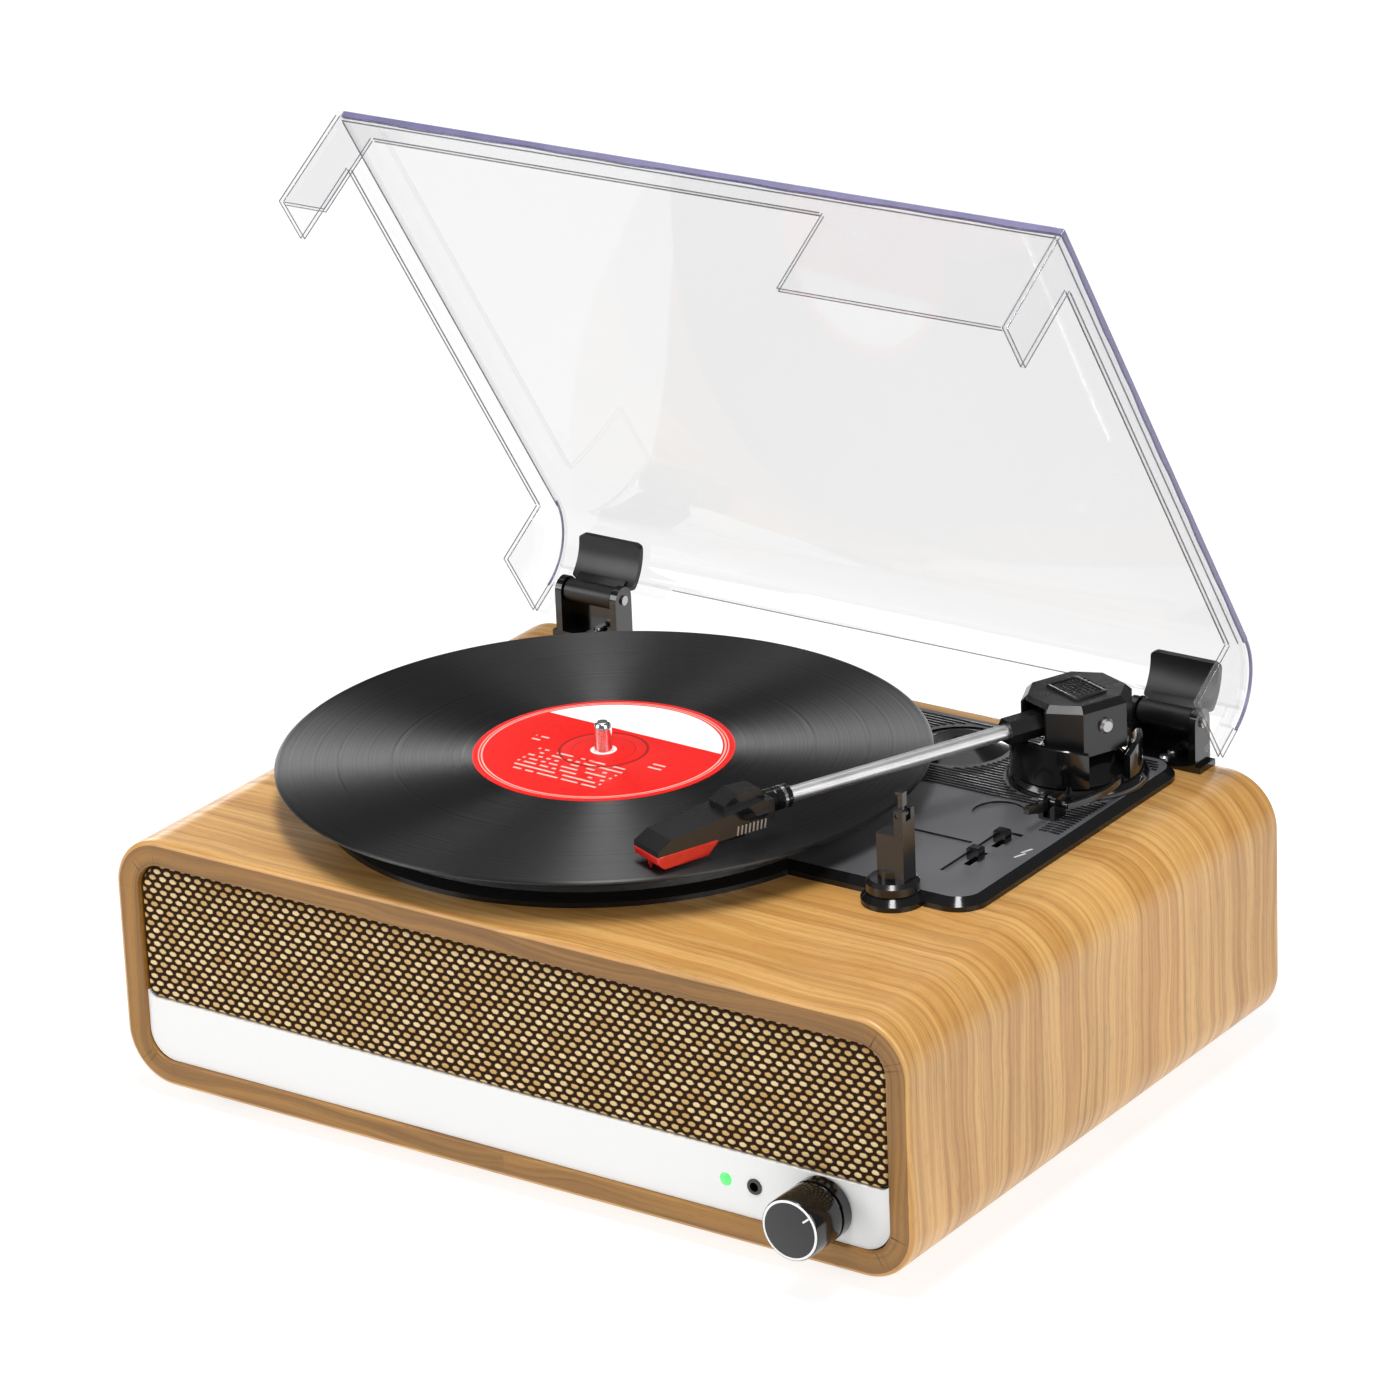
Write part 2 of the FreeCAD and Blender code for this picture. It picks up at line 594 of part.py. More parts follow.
amp_x = (-60, 50)
amp_y = (20, 92)
amp_z = floor_in + 6
amp_board = block(amp_x, amp_y, (amp_z, amp_z + board_thick))
stand_spots = [(x, y) for x in (amp_x[0] + 5, amp_x[1] - 5) for y in (amp_y[0] + 5, amp_y[1] - 5)]
node("amplifier_board", cut(amp_board, *[rod(1.6, (x, y, amp_z - 1), 4) for x, y in stand_spots]))
node("board_standoffs", group(*[cut(rod(3, (x, y, floor_in), amp_z - floor_in), rod(1.3, (x, y, floor_in + 1), 8))
                                for x, y in stand_spots]))
small_screws += [screw((x, y, amp_z + board_thick), 2.6, 6) for x, y in stand_spots]
amp_top = amp_z + board_thick
fin_base = block((-20, 20), (60, 63), (amp_top, amp_top + 26))
fins = [block((-20 + 6 * i, -18 + 6 * i), (63, 73), (amp_top, amp_top + 26)) for i in range(7)]
node("heat_sink", fuse(fin_base, *fins))
cans = [(-45, 60, 8, 24), (-45, 38, 6.5, 18), (-28, 34, 5, 14), (34, 40, 6.5, 18)]
node("board_capacitors", group(*[rod(r, (x, y, amp_top), tall) for x, y, r, tall in cans]))

# ---- Deck plate: a black moulding with a bevelled edge, a dish for the platter and a rear bay ----

deck_span = (top, deck_top)
bay = rounded_block((-deck_left, deck_right), (-deck_front, deck_back), deck_span, 12, "Z")
disc = rod(dish_radius + 6, (spindle_x, spindle_y, top), deck_rise)
rest_boss = rod(rest_radius + 2, (rest_x, rest_y, top), deck_rise)
flange = chamfer(fuse(bay, disc, rest_boss), deck_bevel, at_level(deck_top))
dish = rod(dish_radius, (spindle_x, spindle_y, top - dish_deep), dish_deep + 1)
dish_room = rod(dish_radius - plastic, (spindle_x, spindle_y, dish_floor), deck_rise + dish_deep)
motor_x = spindle_x + motor_reach * math.cos(math.radians(motor_angle.value))
motor_y = spindle_y + motor_reach * math.sin(math.radians(motor_angle.value))
bearing_hole = rod(6.05, (spindle_x, spindle_y, top - dish_deep - 1), 10)
pulley_hole = rod(pulley_radius + 2, (motor_x, motor_y, top - dish_deep - 1), 10)
motor_hold = motor_radius - 5
motor_screw_spots = [(motor_x + motor_hold * math.cos(math.radians(turn)),
                      motor_y + motor_hold * math.sin(math.radians(turn))) for turn in (30, 150, 270)]
motor_holes = [rod(1.6, (x, y, top - dish_deep - 1), 10) for x, y in motor_screw_spots]
pivot_hole = rod(pivot_radius + 1.5, (pivot_x, pivot_y, top - 1), deck_rise + 2)
switch_x = 124.5
speed_y = 0.5
stop_y = 19
slot_panel = block((switch_x - 5, switch_x + 5), (speed_y - 17, stop_y + 7), (deck_top - 1, deck_top + 1))
speed_slot = block((switch_x - 1.4, switch_x + 1.4), (speed_y - 6.5, speed_y + 6.5), (top - 1, deck_top))
stop_slot = block((switch_x - 1.4, switch_x + 1.4), (stop_y - 6, stop_y + 3), (top - 1, deck_top))
dimple = rod(10, (109.5, 40.5, deck_top - 0.8), 2)
channel = block((88, switch_x - 8), (8.5, 11.5), (deck_top - 0.8, deck_top + 1))
adapter_x = 62.5
adapter_y = 88
adapter_radius = 19
adapter_room = rod(adapter_radius + 0.6, (adapter_x, adapter_y, deck_top - 2), 4)
lift_turns = (-118, -66)
lift_reach = 24.9
lift_spots = [(pivot_x + lift_reach * math.cos(math.radians(turn)),
               pivot_y + lift_reach * math.sin(math.radians(turn))) for turn in lift_turns]
lift_rod = 1.5
lift_holes = [rod(lift_rod + turn_fit, (x, y, top - 1), deck_rise + 2) for x, y in lift_spots]
deck_whole = cut(fuse(flange, dish), dish_room, bearing_hole, pulley_hole, *motor_holes, pivot_hole,
                  slot_panel, speed_slot, stop_slot, dimple, channel, adapter_room, *lift_holes)
node("deck_plate", deck_whole)
node("single_adapter", turned([(spindle_radius + 0.2, 0), (adapter_radius, 0), (adapter_radius, 1.6),
                               (adapter_radius - 4, 3), (adapter_radius - 8, 4.4), (spindle_radius + 0.2, 4.4)],
                              (adapter_x, adapter_y, deck_top - 2)))

# ---- Platter, its bearing, the record and the belt drive ----------------------------------------

axle = (spindle_x, spindle_y, 0)
bearing_bottom = top - dish_deep - 22
node("platter_bearing", turned([(0, bearing_bottom - 3), (6, bearing_bottom - 3), (6, top - dish_deep - 2.5),
                                (11, top - dish_deep - 2.5), (11, top - dish_deep), (6, top - dish_deep),
                                (6, dish_floor), (spindle_radius + turn_fit, dish_floor),
                                (spindle_radius + turn_fit, bearing_bottom), (0, bearing_bottom)], axle))
spindle_top = record_top + spindle_stands
node("spindle", turned([(0, bearing_bottom + 0.2), (spindle_radius - 0.6, bearing_bottom + 0.2),
                        (spindle_radius, bearing_bottom + 0.8), (spindle_radius, record_top + 0.4),
                        (spindle_radius - pin_ease, record_top + 1.8), (spindle_radius - pin_ease, spindle_top - 3),
                        (spindle_radius - 1.4, spindle_top - 0.6), (spindle_radius - 2.2, spindle_top),
                        (0, spindle_top)], axle))
rim_in = platter_radius - 4
web = platter_top - 3
node("platter", turned([(spindle_radius, platter_bottom + 2), (11, platter_bottom + 2), (11, web),
                        (drive_radius - 3, web), (drive_radius - 3, platter_bottom + 1.2),
                        (drive_radius, platter_bottom + 1.2), (drive_radius, web), (rim_in, web),
                        (rim_in, platter_bottom), (platter_radius - 0.8, platter_bottom),
                        (platter_radius, platter_bottom + 0.8), (platter_radius, platter_top - 1.5),
                        (platter_radius - 1.5, platter_top), (spindle_radius, platter_top)], axle))
hole = spindle_radius + 0.075
label_room = 0.4
node("platter_mat", turned([(hole, platter_top), (platter_radius - 2, platter_top), (platter_radius - 2, mat_top),
                            (label_radius + 1, mat_top), (label_radius + 1, mat_top - label_room),
                            (hole, mat_top - label_room)], axle))
node("record", turned([(hole, mat_top), (record_radius - 0.6, mat_top), (record_radius, mat_top + 0.5),
                       (record_radius, record_top - 0.5), (record_radius - 0.6, record_top),
                       (hole, record_top)], axle))
label_levels = (record_top, mat_top - label_thick)
node("record_label", group(*[turned([(hole, z), (label_radius, z), (label_radius, z + label_thick),
                                     (hole, z + label_thick)], axle) for z in label_levels]))

motor_top = top - dish_deep
motor_can = rod(motor_radius, (motor_x, motor_y, motor_top - motor_high), motor_high)
motor_bore = rod(1 + turn_fit, (motor_x, motor_y, motor_top - motor_high + 2), motor_high)
node("motor", cut(motor_can, motor_bore, *[rod(1.3, (x, y, motor_top - 6), 7) for x, y in motor_screw_spots]))
small_screws += [screw((x, y, dish_floor), 2.4, 8) for x, y in motor_screw_spots]
node("small_screws", group(*small_screws))
belt_bottom = platter_bottom + 2
belt_span = (belt_bottom - 0.8, belt_bottom + belt_high + 0.8)
shaft_low = motor_top - motor_high + 2.2
node("motor_pulley", turned([(0, shaft_low), (1, shaft_low), (1, belt_span[0]), (pulley_radius + 1.2, belt_span[0]),
                             (pulley_radius + 1.2, belt_span[0] + 0.5), (pulley_radius, belt_span[0] + 0.6),
                             (pulley_radius, belt_span[1]), (0, belt_span[1])], (motor_x, motor_y, 0)))


def belt_outline(offset):
    """Closed wire round the drive ring and the pulley, at one distance outside both."""
    big = drive_radius.value + offset
    small = pulley_radius.value + offset
    reach = motor_reach.value
    lean = math.acos((big - small) / reach)

    def on(radius, x, turn):
        return FreeCAD.Vector(x + radius * math.cos(turn), radius * math.sin(turn), 0)

    big_arc = Part.Arc(on(big, 0, lean), on(big, 0, math.pi), on(big, 0, -lean))
    small_arc = Part.Arc(on(small, reach, -lean), on(small, reach, 0), on(small, reach, lean))
    runs = [Part.LineSegment(on(big, 0, -lean), on(small, reach, -lean)),
            Part.LineSegment(on(small, reach, lean), on(big, 0, lean))]
    return Part.Wire([big_arc.toShape(), runs[0].toShape(), small_arc.toShape(), runs[1].toShape()])


belt_in = Part.Face(belt_outline(belt_gap.value))
belt_out = Part.Face(belt_outline(belt_gap.value + belt_thick.value))
belt = doc.addObject("Part::Feature", "Belt")
belt.Shape = belt_out.cut(belt_in).extrude(FreeCAD.Vector(0, 0, belt_high.value))
node("drive_belt", put(belt, (spindle_x, spindle_y, belt_bottom), (0, 0, 1), motor_angle))

# ---- Tonearm: pieces are drawn pointing to the front from the pivot, then swung in ---------------

arm_at = (pivot_x, pivot_y, 0)


def swung(obj):
    """Move a piece drawn round the pivot to its place and swing it in over the record."""
    return put(obj, arm_at, (0, 0, 1), -arm_swing)


pedestal_top = deck_top + pedestal_high
pivot_bore = pivot_radius + turn_fit
pedestal_body = turned([(pivot_bore, top), (pivot_radius + 1.4, top), (pivot_radius + 1.4, deck_top),
                        (pedestal_radius, deck_top), (pedestal_radius, deck_top + 2.5),
                        (pedestal_radius - 1.5, deck_top + 4), (pedestal_radius - 5, deck_top + 4),
                        (13, pedestal_top - 1.5), (13, pedestal_top), (pivot_bore, pedestal_top)])
guard_ring = cut(rod(24.8, (0, 0, deck_top + 3), 14), rod(22.4, (0, 0, deck_top + 2), 16))
guard_sector = put(block((0, 30), (-13, 13), (deck_top, deck_top + 20)), (0, 0, 0), (0, 0, 1), 25)
guard = common(guard_ring, guard_sector)
pedestal_whole = cut(fuse(pedestal_body, guard),
                     *[rod(lift_rod + turn_fit, (lift_reach * math.cos(math.radians(turn)),
                                                 lift_reach * math.sin(math.radians(turn)), deck_top - 1), 8)
                       for turn in lift_turns])
node("tonearm_pedestal", put(pedestal_whole, arm_at))

yoke_bottom = pedestal_top + 0.6
yoke_top = yoke_bottom + 2.4
shaft_foot = top - 4
node("pivot_shaft", put(turned([(0, shaft_foot), (7, shaft_foot), (7, top - 0.4), (pivot_radius, top - 0.4),
                                (pivot_radius, yoke_bottom), (0, yoke_bottom)]), arm_at))
cheek_in = 11.6
cheek_out = 14.2
yoke_pin = 1.5
cheeks = [block(span, (-5, 5), (yoke_bottom, arm_z + 4)) for span in ((-cheek_out, -cheek_in), (cheek_in, cheek_out))]
yoke_body = fuse(block((-cheek_out, cheek_out), (-9, 9), (yoke_bottom, yoke_top)), *cheeks)
node("pivot_yoke", swung(cut(yoke_body, rod(yoke_pin, (-20, 0, arm_z), 40, "X"))))

housing_top = yoke_bottom + housing_high
half_wide = housing_wide / 2
half_long = housing_long / 2
outer_block = chamfer(block((-half_wide, half_wide), (-half_long, half_long), (yoke_bottom, housing_top)),
                      housing_chamfer, runs_along("Z"))
outer_shape = chamfer(outer_block, 2.5, at_level(housing_top))
inner_shape = chamfer(block((housing_wall - half_wide, half_wide - housing_wall),
                            (housing_wall - half_long, half_long - housing_wall),
                            (yoke_bottom - 1, housing_top - housing_wall)),
                      housing_chamfer - 1, runs_along("Z"))
sleeve_door = block((-7, 7), (-half_long - 1, -half_long + housing_wall + 6), (yoke_bottom - 1, housing_top - 1.7))
vents = [block((-7 + 2.4 * i, -5.8 + 2.4 * i), (-7, 9), (housing_top - 1, housing_top + 1)) for i in range(6)]
side_holes = rod(yoke_pin, (-25, 0, arm_z), 50, "X")
node("pivot_housing", swung(cut(outer_shape, inner_shape, sleeve_door, side_holes, *vents)))
point_in = 7
pivot_screws = [screw((half_wide, 0, arm_z), yoke_pin * 2, half_wide - point_in, "X"),
                screw((-half_wide, 0, arm_z), yoke_pin * 2, half_wide - point_in, "X", turn_over=True)]
node("pivot_screws", swung(group(*pivot_screws)))

sleeve = put(hexagon(sleeve_across, sleeve_end - 12), (0, -sleeve_end, arm_z), (1, 0, 0), -90)
rocker = cut(fuse(block((-10.5, 10.5), (-13, 11), (arm_z - 6, arm_z + 4)), sleeve),
             rod(yoke_pin + turn_fit, (-12, 0, arm_z), 24, "X"),
             rod(tube_radius, (0, -sleeve_end - 1, arm_z), sleeve_end - 4, "Y"))
node("arm_rocker", swung(rocker))
node("counterweight", swung(block((-7.5, 7.5), (11, 16.5), (arm_z - 6, arm_z + 4))))

tube_start = -5
head_start = -(collar_start + collar_long)
tube_tip = head_start - 6
tube = cut(rod(tube_radius, (0, tube_tip, arm_z), tube_start - tube_tip, "Y"),
           rod(tube_radius - 0.6, (0, tube_tip - 1, arm_z), tube_start - tube_tip + 2, "Y"))
node("tonearm_tube", swung(tube))
collar = cut(rod(tube_radius + 1.6, (0, -collar_start - collar_long, arm_z), collar_long, "Y"),
             rod(tube_radius, (0, -collar_start - collar_long - 1, arm_z), collar_long + 2, "Y"))
node("tonearm_collar", swung(collar))

stylus_gap = 0.3
stylus_tip = record_top + stylus_gap
tip_y = -(collar_start + collar_long + head_long)
half_head = head_wide / 2
head_back = head_start
head_roof = arm_z + 4.5
side_view = [(head_back, arm_z + 4), (head_back - 5, head_roof), (tip_y + 6, arm_z - 0.6), (tip_y, arm_z - 4),
             (tip_y, arm_z - 6.5), (tip_y + 8, arm_z - 7), (head_back - 10, arm_z - 6), (head_back, arm_z - 4)]
head_block = padded(side_view, "YZ_Plane", head_wide)
socket = rod(tube_radius, (0, tube_tip, arm_z), 20, "Y")
cartridge_y = (tip_y + 7, head_back - 12)
cartridge_room = block((2 - half_head, half_head - 2), (cartridge_y[0] - 0.2, cartridge_y[1] + 0.2),
                       (arm_z - 12, arm_z - 2.8))
lock_block = padded([(head_back - 2, arm_z + 4), (head_back - 4, arm_z + 8), (head_back - 14, arm_z + 8.5),
                     (head_back - 20, arm_z + 5), (head_back - 20, arm_z + 2), (head_back - 2, arm_z + 2)],
                    "YZ_Plane", 10)
finger = padded([(half_head - 0.5, arm_z + 1), (half_head + 6, arm_z + 2.5), (half_head + 10, arm_z + 5.5),
                 (half_head + 10.6, arm_z + 4.6), (half_head + 6.5, arm_z + 1.2), (half_head - 0.5, arm_z - 0.4)],
                "XZ_Plane", 6, (0, head_back - 12, 0))
node("headshell", swung(cut(fuse(head_block, lock_block, finger), socket, cartridge_room)))
node("cartridge", swung(block((2.2 - half_head, half_head - 2.2), cartridge_y, (arm_z - 8.2, arm_z - 2.8))))
stylus_y = -arm_long
needle = taper(0.35, 1.1, (0, stylus_y, stylus_tip), 2.4)
stylus_view = [(tip_y + 1, arm_z - 8.2), (tip_y + 17, arm_z - 8.2), (tip_y + 15, arm_z - 10.2),
               (tip_y + 4, arm_z - 10.4), (tip_y + 0.5, arm_z - 9.2)]
node("stylus", swung(fuse(padded(stylus_view, "YZ_Plane", 8), needle)))

lift_wall = common(cut(rod(26.2, (0, 0, deck_top + 5), arm_z - 5.4 - deck_top - 5),
                       rod(23.6, (0, 0, deck_top + 4), 30)),
                   put(block((0, 30), (-17, 17), (deck_top, deck_top + 40)), (0, 0, 0), (0, 0, 1), -92))
lift_stems = [rod(lift_rod, (lift_reach * math.cos(math.radians(turn)), lift_reach * math.sin(math.radians(turn)),
                             top - 6), deck_rise + 12) for turn in lift_turns]
node("lift_platform", put(fuse(lift_wall, *lift_stems), arm_at))

# ---- Cue lever: see-saw on a bracket beside the pedestal ----------------------------------------

cue_y = 46
cue_z = deck_top + 6
cue_x = (126, 133)
lug_thick = 2
lugs = [fillet(block((x, x + lug_thick), (cue_y - 4, cue_y + 4), (deck_top, cue_z + 3)), 2,
               runs_along("X", high={"Z": cue_z + 3})) for x in (cue_x[0], cue_x[1] - lug_thick)]
cue_shaft = 1.2
cue_hole = rod(cue_shaft + turn_fit, (cue_x[0] - 5, cue_y, cue_z), 30, "X")
cue_sill = block(cue_x, (cue_y - 4, cue_y + 4), (deck_top, deck_top + 1))
node("cue_bracket", cut(fuse(*lugs, cue_sill), cue_hole))
hub_span = (cue_x[0] + lug_thick + 0.3, cue_x[1] - lug_thick - 0.3)
cue_hub = rod(2.6, (hub_span[0], cue_y, cue_z), hub_span[1] - hub_span[0], "X")
bar_centre = (95.5, 66)
bar_radius = 45.7
bar_foot_x = 137
cue_cross = rod(cue_shaft, (cue_x[0] - 0.8, cue_y, cue_z), bar_foot_x - cue_x[0] + 0.8, "X")
cue_handle = padded([(0, -2), (0, 2), (-8, 2.4), (-16, 4.4), (-18, 4), (-18, 1.6), (-9, -1)], "YZ_Plane", 2.2,
                    (hub_span[0] + 1.2, cue_y, cue_z))
bar_ring = cut(rod(bar_radius + 1.3, (0, 0, cue_z - 1.2), 2.4), rod(bar_radius - 1.3, (0, 0, cue_z - 3), 6))
bar_sector = common(put(block((0, 60), (0, 60), (cue_z - 4, cue_z + 4)), (0, 0, 0), (0, 0, 1), -27),
                    put(block((0, 60), (-60, 0), (cue_z - 4, cue_z + 4)), (0, 0, 0), (0, 0, 1), 16))
cue_bar = put(common(bar_ring, bar_sector), (bar_centre[0], bar_centre[1], 0))
node("cue_lever", fuse(cue_hub, cue_cross, cue_handle, cue_bar))

# ---- Arm rest and its clip ----------------------------------------------------------------------

cradle_floor = arm_z - tube_radius - 0.7
rest_foot = turned([(0, deck_top), (rest_radius, deck_top), (rest_radius, deck_top + 3),
                    (rest_radius - 1.5, deck_top + 4.5), (5.5, deck_top + 4.5), (5.5, deck_top + 8),
                    (0, deck_top + 8)])
rest_stem = block((-4, 7.5), (-4, 4), (deck_top + 4, cradle_floor))
rest_back = block((tube_radius + 0.8, 7.5), (-4, 4), (cradle_floor - 1, arm_z + 6.3))
clip_z = arm_z + 4.5
clip_pin_x = 5.1
rest_notch = block((tube_radius, 9), (-1.6, 1.6), (clip_z - 2.4, arm_z + 8))
clip_stub = 0.9
rest_whole = cut(fuse(rest_foot, rest_stem, rest_back), rest_notch,
                 rod(clip_stub + turn_fit, (clip_pin_x, -6, clip_z), 12, "Y"))
node("arm_rest", put(rest_whole, (rest_x, rest_y, 0)))
clip_hub = fuse(rod(1.9, (clip_pin_x, -1.4, clip_z), 2.8, "Y"), rod(clip_stub, (clip_pin_x, -3.6, clip_z), 7.2, "Y"))
clip_long = 8.3
clip_blade = block((clip_pin_x - 1, clip_pin_x + 1), (-1.4, 1.4), (clip_z, clip_z + clip_long))
clip_hook = block((clip_pin_x - 2.2, clip_pin_x + 1), (-1.4, 1.4), (clip_z + clip_long - 1.1, clip_z + clip_long))
node("rest_clip", put(fuse(clip_hub, clip_blade, clip_hook), (rest_x, rest_y, 0)))

# ---- Deck switches ------------------------------------------------------------------------------

switch_bodies = []
for word, y, slot_low, slot_high in (("speed", speed_y, -6.5, 6.5), ("auto_stop", stop_y, -6, 3)):
    cap = chamfer(block((switch_x - 2.6, switch_x + 2.6), (y - 2.2, y + 2.2), (deck_top - 0.8, deck_top + 4)), 0.6,
                  at_level(deck_top + 4))
    stem = block((switch_x - 1, switch_x + 1), (y - 1.6, y + 1.6), (top - 3, deck_top))
    node(f"{word}_switch", fuse(cap, stem))
    case = block((switch_x - 6, switch_x + 6), (y + slot_low - 2.4, y + slot_high + 2.4), (top - 8, top))
    room = block((switch_x - 1.4, switch_x + 1.4), (y + slot_low, y + slot_high), (top - 4, top + 1))
    switch_bodies.append(cut(case, room))
node("switch_bodies", group(*switch_bodies))

# ---- Hinges -------------------------------------------------------------------------------------

half_hinge = hinge_wide / 2
cheek = 3
hinge_at = (0, hinge_y, hinge_z)
hinge_brackets = []
hinge_pins = []
hinge_leaves = []
hinge_screws = []


def opened(obj):
    """Turn a piece drawn round the hinge axis with the cover shut to the open position."""
    return put(obj, hinge_at, (1, 0, 0), -cover_open)


lid_side = cover_width / 2
lid_back = hinge_in - 0.2
lid_front = lid_back - cover_deep
lid_top = cover_rise - hinge_up
bend_centre = (lid_back - rear_bend, lid_top - cover_plate - rear_bend + cover_wall)
leaf_out = rear_bend - cover_wall - 0.15
leaf_in = leaf_out - 2.6
leaf_turns = (9, 62)
for across in (-1, 1):
    middle = across * hinge_x
    foot = block((middle - half_hinge - 2, middle + half_hinge + 2), (hinge_y - hinge_knuckle, back - 0.5),
                 (top, top + 2.5))
    cheeks = []
    for low in (middle - half_hinge, middle + half_hinge - cheek):
        cheeks.append(block((low, low + cheek), (hinge_y - hinge_knuckle, hinge_y + hinge_knuckle), (top, hinge_z)))
        cheeks.append(rod(hinge_knuckle, (low, hinge_y, hinge_z), cheek, "X"))
    pin_bore = rod(pin_radius, (middle - half_hinge - 3, hinge_y, hinge_z), hinge_wide + 6, "X")
    holes = [rod(1.4, (middle, hinge_y + step, top - 1), 5) for step in (-3, 3)]
    hinge_brackets.append(cut(fuse(foot, *cheeks), pin_bore, *holes))
    hinge_pins.append(rod(pin_radius, (middle - half_hinge - 0.8, hinge_y, hinge_z), hinge_wide + 1.6, "X"))
    hinge_screws += [screw((middle, hinge_y + step, top + 2.5), 2.2, 9) for step in (-3, 3)]
    leaf_ring = cut(rod(leaf_out, (middle - half_hinge, *bend_centre), hinge_wide, "X"),
                    rod(leaf_in, (middle - half_hinge - 1, *bend_centre), hinge_wide + 2, "X"))
    plate = common(leaf_ring, wedge(bend_centre, *leaf_turns, 40, middle, hinge_wide + 2))
    barrel_span = (middle - half_hinge + cheek + 0.4, middle + half_hinge - cheek - 0.4)
    arm = block(barrel_span, (-1, lid_back - cover_wall - 0.7), (0, 9))
    barrel = rod(4.6, (barrel_span[0], 0, 0), barrel_span[1] - barrel_span[0], "X")
    bore = rod(pin_radius + hinge_play, (middle - half_hinge, 0, 0), hinge_wide, "X")
    hinge_leaves.append(opened(cut(fuse(plate, arm, barrel), bore)))
for name, pieces in (("hinge_brackets", hinge_brackets), ("hinge_pins", hinge_pins), ("hinge_leaves", hinge_leaves),
                     ("hinge_screws", hinge_screws)):
    node(name, group(*pieces))

# ---- Clear cover, drawn shut round the hinge axis and then opened --------------------------------

skirt_low = lid_top - front_skirt


def at_back_top(y, z):
    """Edge test: straight along X at the form's upper rear edge."""
    def pick(edge):
        middle = edge.CenterOfMass
        return (edge.Curve.TypeId == "Part::GeomLine" and abs(abs(edge.Curve.Direction.x) - 1) < 1e-6
                and abs(middle.y - float(y)) < 1e-3 and abs(middle.z - float(z)) < 1e-3)
    return pick


cover_blank = block((-lid_side, lid_side), (lid_front, lid_back), (skirt_low, lid_top))
cover_hollow = block((cover_wall - lid_side, lid_side - cover_wall), (lid_front + cover_wall, lid_back - cover_wall),
                     (skirt_low - 1, lid_top - cover_plate))
cover_shell = cut(fillet(cover_blank, rear_bend, at_back_top(lid_back, lid_top)),
                  fillet(cover_hollow, rear_bend - cover_wall, at_back_top(lid_back - cover_wall,
                                                                          lid_top - cover_plate)))
rim_low = lid_top - cover_rim
beyond = lid_side + 1
corner_long = 22
deep_run = 97
rear_corner = 34
side_cut = block((-beyond, beyond), (lid_front + corner_long, lid_back - rear_corner), (skirt_low - 1, rim_low))
front_cut = block((corner_long - lid_side, lid_side - deep_run), (lid_front - 1, lid_front + corner_long + 1),
                  (skirt_low - 1, rim_low))
rear_low = block((-beyond, beyond), (lid_back - rear_corner - 1, lid_back + 1), (skirt_low - 1, lid_top - rear_skirt))
hinge_room_x = hinge_x + half_hinge + 4
rear_gaps = [block((-hinge_room_x, hinge_room_x), (lid_back - cover_wall - 1, lid_back + 1), (skirt_low - 1, 7.6)),
             block((hinge_wide - hinge_x, hinge_x - hinge_wide), (lid_back - cover_wall - 1, lid_back + 1),
                   (skirt_low - 1, 12))]
pockets = []
slack = 0.15
for across in (-1, 1):
    middle = across * hinge_x
    pocket_half = half_hinge + 2
    pocket_at = (middle - pocket_half, *bend_centre)
    pocket_ring = cut(rod(rear_bend - cover_wall + 0.4, pocket_at, 2 * pocket_half, "X"),
                      rod(leaf_in - slack - 1.8, pocket_at, 2 * pocket_half, "X"))
    pocket = common(pocket_ring, wedge(bend_centre, 24, leaf_turns[1] + 3, 40, middle, 2 * pocket_half))
    room = cut(rod(leaf_out + slack, (middle - half_hinge - slack, *bend_centre), hinge_wide + 2 * slack, "X"),
               rod(leaf_in - slack, (middle - half_hinge - slack, *bend_centre), hinge_wide + 2 * slack, "X"))
    pockets.append(cut(pocket, common(room, wedge(bend_centre, 0, leaf_turns[1] + 1, 41, middle, 2 * pocket_half))))
cover_trimmed = cut(cover_shell, side_cut, front_cut, rear_low, *rear_gaps)
node("dust_cover", opened(fuse(cover_trimmed, *pockets)))

# ---- Check and write ----------------------------------------------------------------------------

doc.recompute()
for obj in doc.Objects:
    if "Invalid" in obj.State or "Error" in obj.State:
        raise RuntimeError(f"{obj.Label}: {obj.State}")
labels = [obj.Label for obj in nodes]
if len(set(labels)) != len(labels):
    raise RuntimeError("two sub-parts share a name")
for obj in nodes:
    if obj.Shape.isNull() or not obj.Shape.isValid() or not obj.Shape.Solids:
        raise RuntimeError(f"{obj.Label}: shape is not a valid solid")

os.makedirs("parts", exist_ok=True)
for obj in nodes:
    obj.Shape.exportStep(f"parts/{obj.Label}.step")
print(len(nodes), "sub-parts written")
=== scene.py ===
"""Looks of a free-standing record player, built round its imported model.

Lengths are in millimetres until a mesh is made; the frame itself is in metres, +X to the listener's
right, +Y to the back and +Z up, with the floor at 0.
"""
import math

